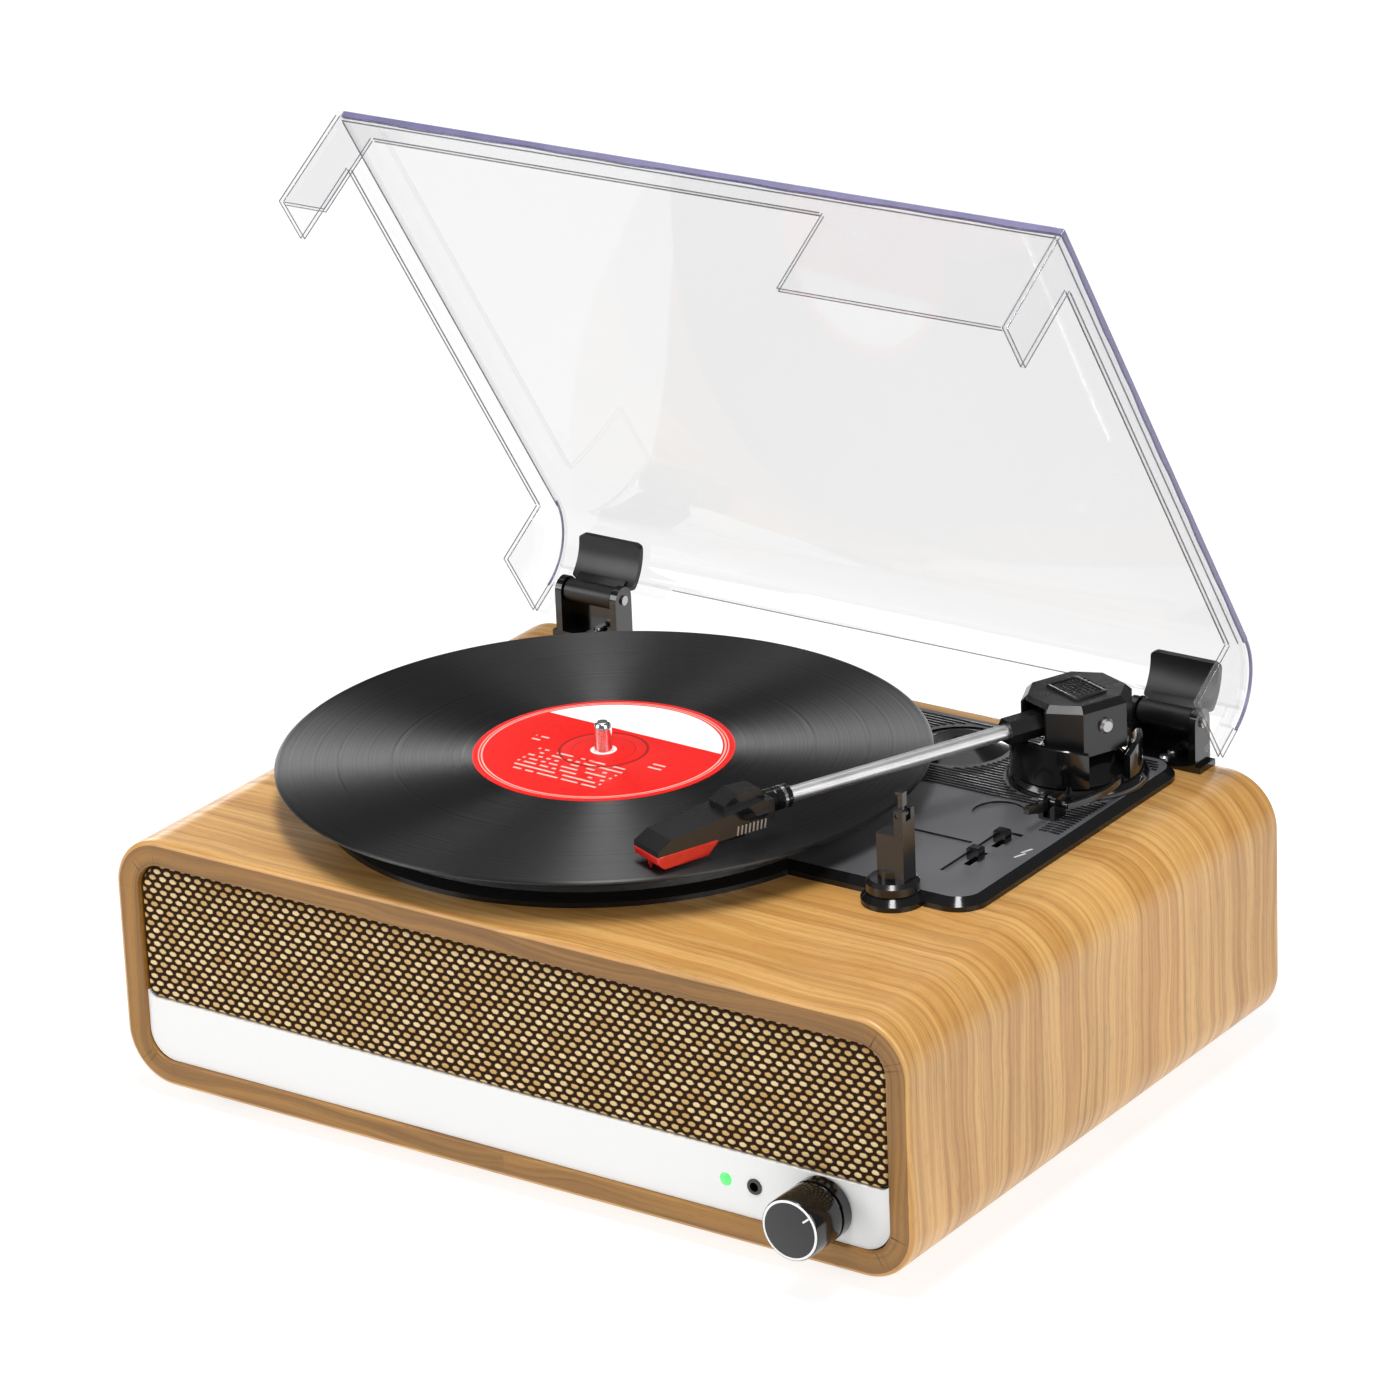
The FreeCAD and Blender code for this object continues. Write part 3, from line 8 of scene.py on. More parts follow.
import bmesh
import bpy
import numpy as np
from mathutils import Matrix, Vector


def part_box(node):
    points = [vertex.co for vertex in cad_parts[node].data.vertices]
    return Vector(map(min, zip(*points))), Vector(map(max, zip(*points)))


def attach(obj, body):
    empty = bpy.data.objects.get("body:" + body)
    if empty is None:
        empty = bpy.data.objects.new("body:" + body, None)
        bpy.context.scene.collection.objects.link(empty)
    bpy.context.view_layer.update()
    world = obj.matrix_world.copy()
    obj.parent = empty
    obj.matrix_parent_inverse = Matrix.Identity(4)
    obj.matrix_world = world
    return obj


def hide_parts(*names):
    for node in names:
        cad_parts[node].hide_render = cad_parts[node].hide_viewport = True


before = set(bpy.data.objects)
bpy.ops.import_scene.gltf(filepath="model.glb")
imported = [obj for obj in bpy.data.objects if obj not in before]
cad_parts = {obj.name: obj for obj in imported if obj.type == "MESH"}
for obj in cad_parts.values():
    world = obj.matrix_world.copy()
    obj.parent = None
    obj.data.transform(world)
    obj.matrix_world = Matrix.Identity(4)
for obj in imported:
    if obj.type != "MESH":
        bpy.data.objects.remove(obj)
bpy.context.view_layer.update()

# Every place below is measured from the cabinet's middle, which stands a little behind the frame's origin.
cabinet_middle = np.array([0, np.mean(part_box("cabinet_shell"), 0)[1] * 1000, 0])

# ---- Studio -------------------------------------------------------------------------------------
# A white sweep under large soft lights. The camera stands to the right of the player, a little
# above it, and far enough off that the cabinet's edges run nearly parallel.

scene = bpy.context.scene
scene.view_settings.view_transform = "Standard"

camera_data = bpy.data.cameras.new("view")
camera_data.sensor_width = 36
camera_data.lens = 161.8
camera_data.shift_x = 0.0513
camera_data.shift_y = -0.0754
camera_data.clip_end = 100
camera = bpy.data.objects.new("view", camera_data)
scene.collection.objects.link(camera)
camera.matrix_world = Matrix(((0.81847, -0.17209, 0.54817, 1.26872),
                              (0.573, 0.31443, -0.75684, -1.789 + cabinet_middle[1] / 1000),
                              (-0.04212, 0.93355, 0.35596, 1.02951), (0, 0, 0, 1)))
scene.camera = camera


def linear(code, alpha=1.0):
    """sRGB hex code as linear colour: c / 12.92 up to 0.04045, else ((c + 0.055) / 1.055) ** 2.4."""
    channels = [int(code[i:i + 2], 16) / 255 for i in (1, 3, 5)]
    return (*[c / 12.92 if c <= 0.04045 else ((c + 0.055) / 1.055) ** 2.4 for c in channels], alpha)


def add(tree, kind, inputs=None, out=None, **settings):
    """One shader node of a kind with its own settings; each input takes a value or another node's output.
    Gives back the output that is named, or else the first one in use."""
    item = tree.nodes.new("ShaderNode" + kind)
    for name, value in settings.items():
        setattr(item, name, value)
    for name, value in (inputs or {}).items():
        if isinstance(value, bpy.types.NodeSocket):
            tree.links.new(value, item.inputs[name])
        else:
            item.inputs[name].default_value = value
    return item.outputs[out] if out else next(socket for socket in item.outputs if socket.enabled)


def surface(name, **sockets):
    """A new material with one principled shader: returns the material, its node tree and the shader."""
    material = bpy.data.materials.new(name)
    material.use_nodes = True
    tree = material.node_tree
    shader = tree.nodes["Principled BSDF"]
    for socket, value in sockets.items():
        shader.inputs[socket.replace("_", " ")].default_value = value
    return material, tree, shader


def lead(shader, **patterns):
    """Link patterns to a shader's inputs."""
    for socket, pattern in patterns.items():
        shader.id_data.links.new(pattern, shader.inputs[socket.replace("_", " ")])


# The sweep is white paper with a faint tooth; it glows a little, as a lit backdrop does.
paper, tree, shader = surface("white_backdrop_paper", Base_Color=linear("#8a8a8a"), Roughness=0.9)
tooth = add(tree, "TexNoise", {"Vector": add(tree, "TexCoord", out="Object"), "Scale": 60.0, "Detail": 4.0})
lead(shader, Normal=add(tree, "Bump", {"Height": tooth, "Strength": 0.02, "Distance": 0.001}))
shader.inputs["Emission Color"].default_value = (1, 1, 1, 1)
shader.inputs["Emission Strength"].default_value = 0.82
sweep = bpy.data.meshes.new("floor")
sweep.from_pydata([(-12, -12, 0), (12, -12, 0), (12, 12, 0), (-12, 12, 0)], [], [(0, 1, 2, 3)])
sweep.materials.append(paper)
floor = bpy.data.objects.new("floor", sweep)
scene.collection.objects.link(floor)

world = bpy.data.worlds.new("studio")
scene.world = world
world.use_nodes = True
world.node_tree.nodes["Background"].inputs["Color"].default_value = (1, 1, 1, 1)
world.node_tree.nodes["Background"].inputs["Strength"].default_value = 0.12


def softbox(name, at, aim, wide, high, watts):
    """A rectangular light of a size in metres, turned to face a point."""
    light = bpy.data.lights.new(name, "AREA")
    light.shape = "RECTANGLE"
    light.size, light.size_y = wide, high
    light.energy = watts
    lamp = bpy.data.objects.new(name, light)
    scene.collection.objects.link(lamp)
    back = np.subtract(at, aim) / np.linalg.norm(np.subtract(at, aim))
    right = np.cross((0, 0, 1), back)
    right /= np.linalg.norm(right)
    columns = np.column_stack([right, np.cross(back, right), back, at])
    lamp.matrix_world = Matrix([*columns.tolist(), [0, 0, 0, 1]])


softbox("overhead", (0.25, -0.4, 1.95), (0, 0, 0.1), 0.45, 1.0, 30)
softbox("wide_overhead", (-0.45, 0.45, 1.9), (0, 0, 0.1), 1.5, 1.1, 6)
softbox("front_left", (-1.5, -1.7, 1.1), (0, 0, 0.1), 1.2, 1.4, 26)
softbox("right_side", (2.0, -0.5, 1.1), (0, 0, 0.1), 1.2, 1.4, 20)
for name, degrees in (("behind_left", 144), ("behind_right", 108)):
    turn = math.radians(degrees)
    softbox(name, (-0.036 + 2.3 * math.cos(turn), 2.3 * math.sin(turn), 0.58), (0, 0, 0.12), 0.6, 0.35, 6)

# ---- Cabinet ------------------------------------------------------------------------------------
# Board wrapped in golden teak veneer: a rounded tube whose grain runs across the top and down the
# sides. Sliced veneer glued on and lacquered satin; its front and back edges are banded to match.


def span(node):
    """A node's lowest and highest corners in millimetres from the cabinet's middle."""
    return np.array(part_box(node)) * 1000 - cabinet_middle


def lattice(rows, columns, close_rows=False, close_columns=False):
    """Quads between a lattice's points, numbered row by row; a closed side joins its end to its start."""
    row, column = np.meshgrid(np.arange(rows - (not close_rows)), np.arange(columns - (not close_columns)),
        indexing="ij")
    next_row, next_column = (row + 1) % rows, (column + 1) % columns
    corners = (row * columns + column, row * columns + next_column, next_row * columns + next_column, next_row
        * columns + column)
    return np.stack(corners, -1).reshape(-1, 4).tolist()


def piece(name, points, faces, finish, body, slot, replaces=(), uv=None, weld=True, outward=True):
    """One object from points in millimetres. Doubles are merged, closed shells face outwards and only
    corners sharper than 35 degrees stay sharp."""
    mesh = bpy.data.meshes.new(name)
    mesh.from_pydata(((np.reshape(points, (-1, 3)) + cabinet_middle) * 0.001).tolist(), [], faces)
    if uv is not None:
        corners = np.empty(len(mesh.loops), dtype=np.int32)
        mesh.loops.foreach_get("vertex_index", corners)
        layer = mesh.uv_layers.new(name="UVMap")
        layer.data.foreach_set("uv", np.reshape(uv, (-1, 2))[corners].ravel())
    work = bmesh.new()
    work.from_mesh(mesh)
    if weld:
        bmesh.ops.remove_doubles(work, verts=work.verts, dist=2e-7)
    if outward:
        bmesh.ops.recalc_face_normals(work, faces=work.faces)
    work.to_mesh(mesh)
    work.free()
    mesh.shade_smooth()
    mesh.set_sharp_from_angle(angle=math.radians(35))
    mesh.materials.append(finish)
    obj = bpy.data.objects.new(name, mesh)
    scene.collection.objects.link(obj)
    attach(obj, body)
    if replaces:
        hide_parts(*replaces)
    return obj


def rounded(corners, radius, steps=8):
    """Closed anticlockwise outline with rounded corners: each arc's centre is on its corner's bisector,
    and the arc turns from one edge's tangent point to the other's."""
    at = np.array(corners, float) @ (1, 1j)
    before = np.roll(at, 1) - at
    after = np.roll(at, -1) - at
    before, after = before / abs(before), after / abs(after)
    half = np.arccos(np.clip((before * after.conj()).real, -1, 1)) / 2
    bisector = (before + after) / abs(before + after)
    radius = np.broadcast_to(radius, at.shape)
    centre = at + bisector * radius / np.sin(half)
    start = at + before * radius / np.tan(half) - centre
    turn = -np.sign((before.conj() * after).imag) * (np.pi - 2 * half)
    arc = centre[:, None] + start[:, None] * np.exp(1j * turn[:, None] * np.linspace(0, 1, steps + 1))
    arc = arc.ravel()
    arc = arc[abs(arc - np.roll(arc, 1)) > 1e-6]
    return np.column_stack([arc.real, arc.imag])


def pane(x_0, x_1, y_0, y_1, radius, steps):
    """Rounded outline of a rectangle."""
    return rounded([(x_0, y_0), (x_1, y_0), (x_1, y_1), (x_0, y_1)], radius, steps)


def inset(outline, distance):
    """Anticlockwise outline moved inwards: a corner goes along the sum of its edges' inward normals,
    divided by one plus their dot product."""
    ahead = np.roll(outline, -1, 0) - outline
    normal = np.column_stack([-ahead[:, 1], ahead[:, 0]]) / np.linalg.norm(ahead, axis=1, keepdims=True)
    before = np.roll(normal, 1, 0)
    return outline + distance * (normal + before) / (1 + (normal * before).sum(1, keepdims=True))


def denser(outline, step):
    """The same closed outline with points no further apart than a step, by straight interpolation."""
    ring = np.vstack([outline, outline[:1]])
    length = np.concatenate([[0], np.cumsum(np.linalg.norm(np.diff(ring, axis=0), axis=1))])
    at = np.unique(np.concatenate([length[:-1], np.arange(0, length[-1], step)]).round(5))
    return np.column_stack([np.interp(at, length, ring[:, 0]), np.interp(at, length, ring[:, 1])])


def teak(name, light, middle, dark, coat):
    """Sliced teak, read from the UV map in units of 100 mm with the grain along U: long soft bands, brown
    streaks a few millimetres apart that waver slowly, and short dark pores."""
    material, tree, shader = surface(name, Roughness=0.42, Coat_Weight=coat, Coat_Roughness=0.25)
    uv = add(tree, "TexCoord", out="UV")
    slow = add(tree, "TexNoise", {"Vector": add(tree, "Mapping", {"Vector": uv, "Scale": (1.1, 1.6, 1)}),
        "Scale": 1.0, "Detail": 2.0}, "Color")
    bent = add(tree, "VectorMath", {0: uv, 1: add(tree, "VectorMath", {0: slow, 1: (0.0, 0.17, 0.0)},
        operation="MULTIPLY")}, operation="ADD")
    figure = add(tree, "TexNoise", {"Vector": add(tree, "Mapping", {"Vector": bent, "Scale": (0.16, 4.6, 1)}),
        "Scale": 1.0, "Detail": 5.0, "Roughness": 0.6, "Distortion": 0.35})
    tone = add(tree, "ValToRGB", {"Fac": figure})
    ramp = tone.node.color_ramp
    ramp.elements[0].color, ramp.elements[1].color = linear(light), linear(dark)
    ramp.elements[0].position, ramp.elements[1].position = 0.3, 0.8
    for place, colour in ((0.44, middle), (0.52, light), (0.64, middle)):
        ramp.elements.new(place).color = linear(colour)
    streak = add(tree, "TexNoise", {"Vector": add(tree, "Mapping", {"Vector": bent, "Scale": (0.4, 34, 1)}),
        "Scale": 1.0, "Detail": 6.0, "Roughness": 0.62})
    streaked = add(tree, "MapRange", {"Value": streak, "From Min": 0.46, "From Max": 0.76, "To Min": 0.0,
        "To Max": 0.85})
    first = add(tree, "Mix", {0: streaked, 6: tone, 7: linear(dark)}, data_type="RGBA")
    pore = add(tree, "TexNoise", {"Vector": add(tree, "Mapping", {"Vector": bent, "Scale": (14, 230, 1)}),
        "Scale": 1.0, "Detail": 2.0})
    pored = add(tree, "MapRange", {"Value": pore, "From Min": 0.58, "From Max": 0.74, "To Min": 0.0,
        "To Max": 0.4})
    second = add(tree, "Mix", {0: pored, 6: first, 7: linear("#5a3510")}, data_type="RGBA")
    patch = add(tree, "TexNoise", {"Vector": uv, "Scale": 0.9, "Detail": 2.0})
    shade = add(tree, "MapRange", {"Value": patch, "From Min": 0.3, "From Max": 0.7, "To Min": 0.9,
        "To Max": 1.06})
    final = add(tree, "VectorMath", {0: second, 1: shade}, operation="MULTIPLY")
    lead(shader, Base_Color=final)
    relief = add(tree, "Math", {0: pored, 1: streaked}, operation="ADD")
    lead(shader, Normal=add(tree, "Bump", {"Height": relief, "Strength": 0.25, "Distance": 0.00012},
        invert=True))
    rough = add(tree, "MapRange", {"Value": streak, "From Min": 0.3, "From Max": 0.7, "To Min": 0.34,
        "To Max": 0.5})
    lead(shader, Roughness=rough)
    return material


veneer = teak("lacquered_teak_veneer", "#dbab66", "#c48f4b", "#8a5a24", 0.3)
banding = teak("teak_edge_banding", "#a2732f", "#8a5e25", "#573711", 0.15)

(left, front, foot_top), (right, back, cab_top) = span("cabinet_shell")
corner, board, easing, lip = 21.0, 10.0, 1.6, 0.8
loop = denser(pane(left, right, foot_top, cab_top, corner, 20), 3.0)
seam = np.argmin(abs(loop[:, 0]) + 10 * (loop[:, 1] - foot_top))
loop = np.roll(loop, -seam, 0)
around = np.concatenate([[0], np.cumsum(np.linalg.norm(np.diff(loop, axis=0), axis=1))])


def tube_surface(stations):
    """Rings of the cabinet's outline, each moved in by a distance at a depth; UV is the way round and the
    way along, in units of 100 mm."""
    rings, uvs, along = [], [], 0.0
    for i, (inward, depth) in enumerate(stations):
        if i:
            along += math.dist(stations[i - 1], (inward, depth))
        ring = inset(loop, inward)
        ring = np.vstack([ring, ring[:1]])
        rings.append(np.column_stack([ring[:, 0], np.full(len(ring), depth), ring[:, 1]]))
        way = np.append(around, around[-1] + math.dist(loop[0], loop[-1]))
        uvs.append(np.column_stack([way / 100, np.full(len(ring), along / 100)]))
    return np.array(rings), np.array(uvs)


turn = np.linspace(0, np.pi / 2, 5)
stations = [(easing * (1 - math.sin(t)), front + easing * (1 - math.cos(t))) for t in turn]
stations += [(0.0, y) for y in np.arange(front + 4, back - 3, 2.5)]
stations += [(easing * (1 - math.sin(t)), back - easing * (1 - math.cos(t))) for t in turn[::-1]]
wrap, wrap_uv = tube_surface(stations)
quads = np.array(lattice(*wrap.shape[:2]))
middle = wrap.reshape(-1, 3)[quads].mean(1)
dish = (-36.0, -8.0)
under_deck = (middle[:, 2] > cab_top - 1) & ((np.hypot(middle[:, 0] - dish[0], middle[:, 1] - dish[1]) < 103)
    | ((abs(middle[:, 0] - 43) < 97) & (abs(middle[:, 1] - 39.25) < 71)))
piece("teak_wrap", wrap, quads[~under_deck].tolist(), veneer, "base", "veneer", ["cabinet_shell"], wrap_uv,
    weld=False, outward=False)

for name, face, way in (("front_banding", front, 1), ("rear_banding", back, -1)):
    rim = [(easing, face)] + [(board - lip + lip * math.sin(t), face + way * lip * (1 - math.cos(t)))
        for t in turn]
    rim += [(board, face + way * 3), (board, face + way * 14)]
    rings, uvs = tube_surface(rim)
    piece(name, rings, lattice(*rings.shape[:2]), banding, "base", "veneer", (), uvs, weld=False,
        outward=False)

# ---- Feet ---------------------------------------------------------------------------------------
# Four moulded rubber pads under the corners, each held by one screw in a counterbore.


def lathe(profile, centre, steps=96):
    """(Radius, height) points turned about a vertical line: each ring is centre + radius (cos, sin)."""
    profile = np.array(profile, float)
    angle = np.linspace(0, 2 * np.pi, steps, endpoint=False)
    x = centre[0] + profile[:, :1] * np.cos(angle)
    y = centre[1] + profile[:, :1] * np.sin(angle)
    z = np.broadcast_to(centre[2] + profile[:, 1:], x.shape)
    return np.stack([x, y, z], -1)


def several(blocks, closed_rows=False):
    """Points and quads of several wrapped lattices put together."""
    points, faces, count = [], [], 0
    for block in blocks:
        rows, columns = block.shape[:2]
        points.append(block.reshape(-1, 3))
        faces += (np.array(lattice(rows, columns, closed_rows, True)) + count).tolist()
        count += rows * columns
    return np.vstack(points), faces


def moulded(name, colour, rough, tooth_mm, depth_mm, coat=0.0, spread=0.06):
    """Injection-moulded plastic or rubber: one colour, with a spark-eroded tooth of a size and depth in
    millimetres and slow patches where the roughness differs by a spread."""
    material, tree, shader = surface(name, Base_Color=linear(colour), Roughness=rough, Coat_Weight=coat,
        Coat_Roughness=0.06)
    place = add(tree, "TexCoord", out="Object")
    grain = add(tree, "TexNoise", {"Vector": place, "Scale": 1000 / tooth_mm, "Detail": 3.0})
    patch = add(tree, "TexNoise", {"Vector": place, "Scale": 35.0, "Detail": 4.0})
    lead(shader, Roughness=add(tree, "MapRange", {"Value": patch, "From Min": 0.3, "From Max": 0.7,
        "To Min": rough - spread, "To Max": rough + spread}))
    lead(shader, Normal=add(tree, "Bump", {"Height": grain, "Strength": 0.5, "Distance": depth_mm / 1000}))
    return material


rubber = moulded("moulded_black_rubber", "#1c1c1c", 0.75, 0.5, 0.03)
feet_low, feet_high = span("rubber_feet")
foot_rings = [lathe([(4.2, 3.4), (4.2, 0.6), (4.8, 0), (9.2, 0), (10.3, 0.5), (11, 1.6), (10.9, 3),
    (10.2, 6.9), (0, 6.95)], (x, y, 0), 48) for x in (feet_low[0] + 11, feet_high[0] - 11)
    for y in (feet_low[1] + 11, feet_high[1] - 11)]
piece("rubber_feet_turned", *several(foot_rings), rubber, "base", "rubber", ["rubber_feet"])

# ---- Grille -------------------------------------------------------------------------------------
# Woven speaker cloth stretched over a thin board: cream weft shows as short staggered beads between
# dark brown warp. Beads are 4.9 mm apart along a row and rows are 2.75 mm apart.

(cloth_left, cloth_front, cloth_low), (cloth_right, _, cloth_high) = span("grille_panel")
bead_pitch, row_pitch = 4.9, 2.75
upper_corner, lower_corner = 11.8, 6.0
rows = np.linspace(0, 1, 121)
columns = np.linspace(-1, 1, 681)
half_wide = (cloth_right - cloth_left) / 2
z = cloth_low + rows * (cloth_high - cloth_low)
from_top, from_low = cloth_high - z, z - cloth_low
cut_back = np.where(from_top < upper_corner, upper_corner - np.sqrt(np.clip(upper_corner ** 2 - (upper_corner
    - from_top) ** 2, 0, None)), 0)
cut_back += np.where(from_low < lower_corner, lower_corner - np.sqrt(np.clip(lower_corner ** 2 - (lower_corner
    - from_low) ** 2, 0, None)), 0)
x = columns[None, :] * (half_wide - cut_back)[:, None]
z = np.broadcast_to(z[:, None], x.shape)
edge = np.minimum(np.minimum(from_top, from_low)[:, None], (half_wide - cut_back)[:, None] - abs(x))
row = np.floor(z / row_pitch)
along = x / bead_pitch + 0.5 * np.mod(row, 2)
across_bead = (along - np.floor(along) - 0.5) * bead_pitch / 1.75
up_bead = (z / row_pitch - row - 0.5) * row_pitch / 1.05
bead = np.clip(1 - across_bead ** 2 - up_bead ** 2, 0, 1) ** 0.5
roll = np.clip(1.4 - edge, 0, 1.4)
cloth = np.stack([x, cloth_front + 0.5 - 0.42 * bead * (roll == 0) + 1.4 * (roll / 1.4) ** 2, z], -1)

weave, tree, shader = surface("woven_speaker_cloth", Roughness=0.85, Specular_IOR_Level=0.15)
place = add(tree, "SeparateXYZ", {"Vector": add(tree, "TexCoord", out="Object")})
row_at = add(tree, "Math", {0: place.node.outputs["Z"], 1: 1000 / row_pitch}, operation="MULTIPLY")
row_no = add(tree, "Math", {0: row_at}, operation="FLOOR")
odd = add(tree, "Math", {0: row_no, 1: 2.0}, operation="MODULO")
bead_at = add(tree, "Math", {0: place.node.outputs["X"], 1: 1000 / bead_pitch}, operation="MULTIPLY")
bead_at = add(tree, "Math", {0: odd, 1: 0.5, 2: bead_at}, operation="MULTIPLY_ADD")
bead_no = add(tree, "Math", {0: bead_at}, operation="FLOOR")
cell_x = add(tree, "Math", {0: bead_at, 1: bead_no}, operation="SUBTRACT")
cell_x = add(tree, "Math", {0: cell_x, 1: bead_pitch / 1.75, 2: -0.5 * bead_pitch / 1.75},
    operation="MULTIPLY_ADD")
cell_z = add(tree, "Math", {0: row_at, 1: row_no}, operation="SUBTRACT")
cell_z = add(tree, "Math", {0: cell_z, 1: row_pitch / 1.05, 2: -0.5 * row_pitch / 1.05},
    operation="MULTIPLY_ADD")
from_middle = add(tree, "VectorMath", {0: add(tree, "CombineXYZ", {"X": cell_x, "Y": cell_z})},
    operation="LENGTH")
fuzz = add(tree, "TexNoise", {"Vector": add(tree, "TexCoord", out="Object"), "Scale": 1400.0, "Detail": 2.0})
frayed = add(tree, "Math", {0: fuzz, 1: 0.5, 2: from_middle}, operation="MULTIPLY_ADD")
on_bead = add(tree, "MapRange", {"Value": frayed, "From Min": 1.28, "From Max": 1.02, "To Min": 0.0,
    "To Max": 1.0})
which = add(tree, "TexWhiteNoise", {"Vector": add(tree, "CombineXYZ", {"X": bead_no, "Y": row_no})},
    noise_dimensions="2D")
cream = add(tree, "Mix", {0: which, 6: linear("#e8cf9f"), 7: linear("#c39e64")}, data_type="RGBA")
warp = add(tree, "Mix", {0: fuzz, 6: linear("#1a0d02"), 7: linear("#3a2108")}, data_type="RGBA")
thread = add(tree, "Mix", {0: on_bead, 6: warp, 7: cream}, data_type="RGBA")
lead(shader, Base_Color=thread)
lead(shader, Normal=add(tree, "Bump", {"Height": fuzz, "Strength": 0.5, "Distance": 0.0003}))
piece("speaker_cloth", cloth, lattice(*x.shape), weave, "base", "cloth", ["grille_panel"], weld=False)

# ---- Control strip and its fittings -------------------------------------------------------------
# A satin off-white ABS moulding along the foot of the front, with the power light, the headphone
# socket and the volume knob. The strip, socket and shaft are the model's own shapes.

ivory = moulded("satin_white_abs", "#eeeeed", 0.38, 0.6, 0.006)
black_gloss = moulded("polished_black_abs", "#0d0d0e", 0.16, 1.2, 0.002, 0.5, 0.03)
black_satin = moulded("satin_black_abs", "#141415", 0.27, 0.5, 0.006, 0.3)


def dress(finish, *names):
    """Give the model's own pieces a finish."""
    for name in names:
        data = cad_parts[name].data
        data.materials.clear()
        data.materials.append(finish)


dress(ivory, "control_strip")
dress(black_gloss, "headphone_socket", "volume_shaft", "volume_pot")

lens, tree, shader = surface("lit_green_lens", Base_Color=linear("#35d955"), Roughness=0.2)
ring = add(tree, "TexNoise", {"Vector": add(tree, "TexCoord", out="Object"), "Scale": 500.0})
glow = add(tree, "Mix", {0: ring, 6: linear("#2fd24d"), 7: linear("#8af79a")}, data_type="RGBA")
lead(shader, Emission_Color=glow)
shader.inputs["Emission Strength"].default_value = 0.9


def facing_front(rings, centre):
    """Rings drawn about Z turned to run along -Y from a centre: (x, y, z) becomes (x, -z, y)."""
    return np.stack([rings[..., 0] + centre[0], centre[1] - rings[..., 2], rings[..., 1] + centre[2]], -1)


light_low, light_high = span("power_light")
light_at = (light_low + light_high) / 2
dome = lathe([(0, 0.75), (1.2, 0.65), (2.1, 0.3), (2.4, -0.1), (2.4, -3), (0, -3)], (0, 0, 0), 40)
piece("power_lens", *several([facing_front(dome, (light_at[0], light_low[1] + 0.8, light_at[2]))]), lens,
    "base", "light_green", ["power_light"])

# The knob is turned from black ABS: a flat fine-toothed face in a white-filled ring, a polished barrel
# with one groove near its foot, and a white pointer line.
knob_low, knob_high = span("volume_knob")
knob_at = ((knob_low[0] + knob_high[0]) / 2, knob_low[1] + 0.12, (knob_low[2] + knob_high[2]) / 2)
knob_form = lathe([(0, 0), (10.4, 0), (10.4, -0.05), (11.3, -0.05), (11.7, -0.2), (12, -0.8), (12, -15.4),
    (11.8, -15.6), (10.7, -15.6), (10.6, -15.8), (10.6, -16.9), (10.7, -17.1), (11.8, -17.1), (12, -17.3),
    (12, -21.6), (11.6, -21.88), (0, -21.88)], (0, 0, 0), 128)
piece("knob_barrel", *several([facing_front(knob_form, knob_at)]), black_gloss, "volume", "gloss_black",
    ["volume_knob"])
white_fill = moulded("white_filled_paint", "#f4f4f2", 0.4, 0.4, 0.004)
knob_face = moulded("fine_toothed_black_abs", "#2f2f31", 0.5, 0.3, 0.008)
knob_rim = lathe([(10.6, -0.3), (10.6, 0.02), (11.2, 0.04), (11.5, -0.12), (11.5, -0.4)], (0, 0, 0), 128)
piece("knob_white_ring", *several([facing_front(knob_rim, knob_at)]), white_fill, "volume", "white_plastic")
knob_disc = lathe([(0, 0.03), (10.3, 0.03), (10.55, -0.1), (10.55, -0.3), (0, -0.3)], (0, 0, 0), 96)
piece("knob_disc", *several([facing_front(knob_disc, knob_at)]), knob_face, "volume", "gloss_black")
turned_to = math.radians(38)
mark = pane(7.2, 10.5, -0.35, 0.35, 0.15, 3) @ (1, 1j) * np.exp(1j * turned_to)
mark = np.column_stack([mark.real, mark.imag])


def slab(outline, low, high, edge, steps=3):
    """Plate on an anticlockwise outline with rounded rims: at angle t the wall stands in by edge (1 - sin t)
    and its level is edge (1 - cos t) from the end; a ring just inside keeps the flats flat."""
    t = np.linspace(0, np.pi / 2, steps + 1)
    inward = np.concatenate([[edge + 0.03], edge * (1 - np.sin(t)), edge * (1 - np.sin(t[::-1])),
        [edge + 0.03]])
    level = np.concatenate([[low], low + edge * (1 - np.cos(t)), high - edge * (1 - np.cos(t[::-1])), [high]])
    rings = np.array([np.column_stack([inset(outline, i), np.full(len(outline), h)]) for i, h in zip(inward,
        level)])
    count = len(outline)
    faces = lattice(len(rings), count, False, True)
    faces += [list(range(count))[::-1], [(len(rings) - 1) * count + i for i in range(count)]]
    return rings.reshape(-1, 3), faces


def joined(*parts):
    """Several (points, faces) shapes as one."""
    points, faces, count = [], [], 0
    for some, their in parts:
        some = np.reshape(some, (-1, 3))
        points.append(some)
        faces += [[i + count for i in face] for face in their]
        count += len(some)
    return np.vstack(points), faces


points, faces = slab(mark, 0.0, 0.09, 0.03, 2)
piece("knob_pointer", facing_front(points, knob_at), faces, white_fill, "volume", "white_plastic")

# ---- Rear panel and its sockets -----------------------------------------------------------------
# Black-painted fibreboard with saw-cut vents; barrel inlet, line socket and two phono sockets.

painted_board = moulded("black_painted_fibreboard", "#1f1d1b", 0.62, 0.9, 0.05)
dress(painted_board, "rear_panel", "rear_cleats", "front_baffle")
dress(black_satin, "power_inlet")


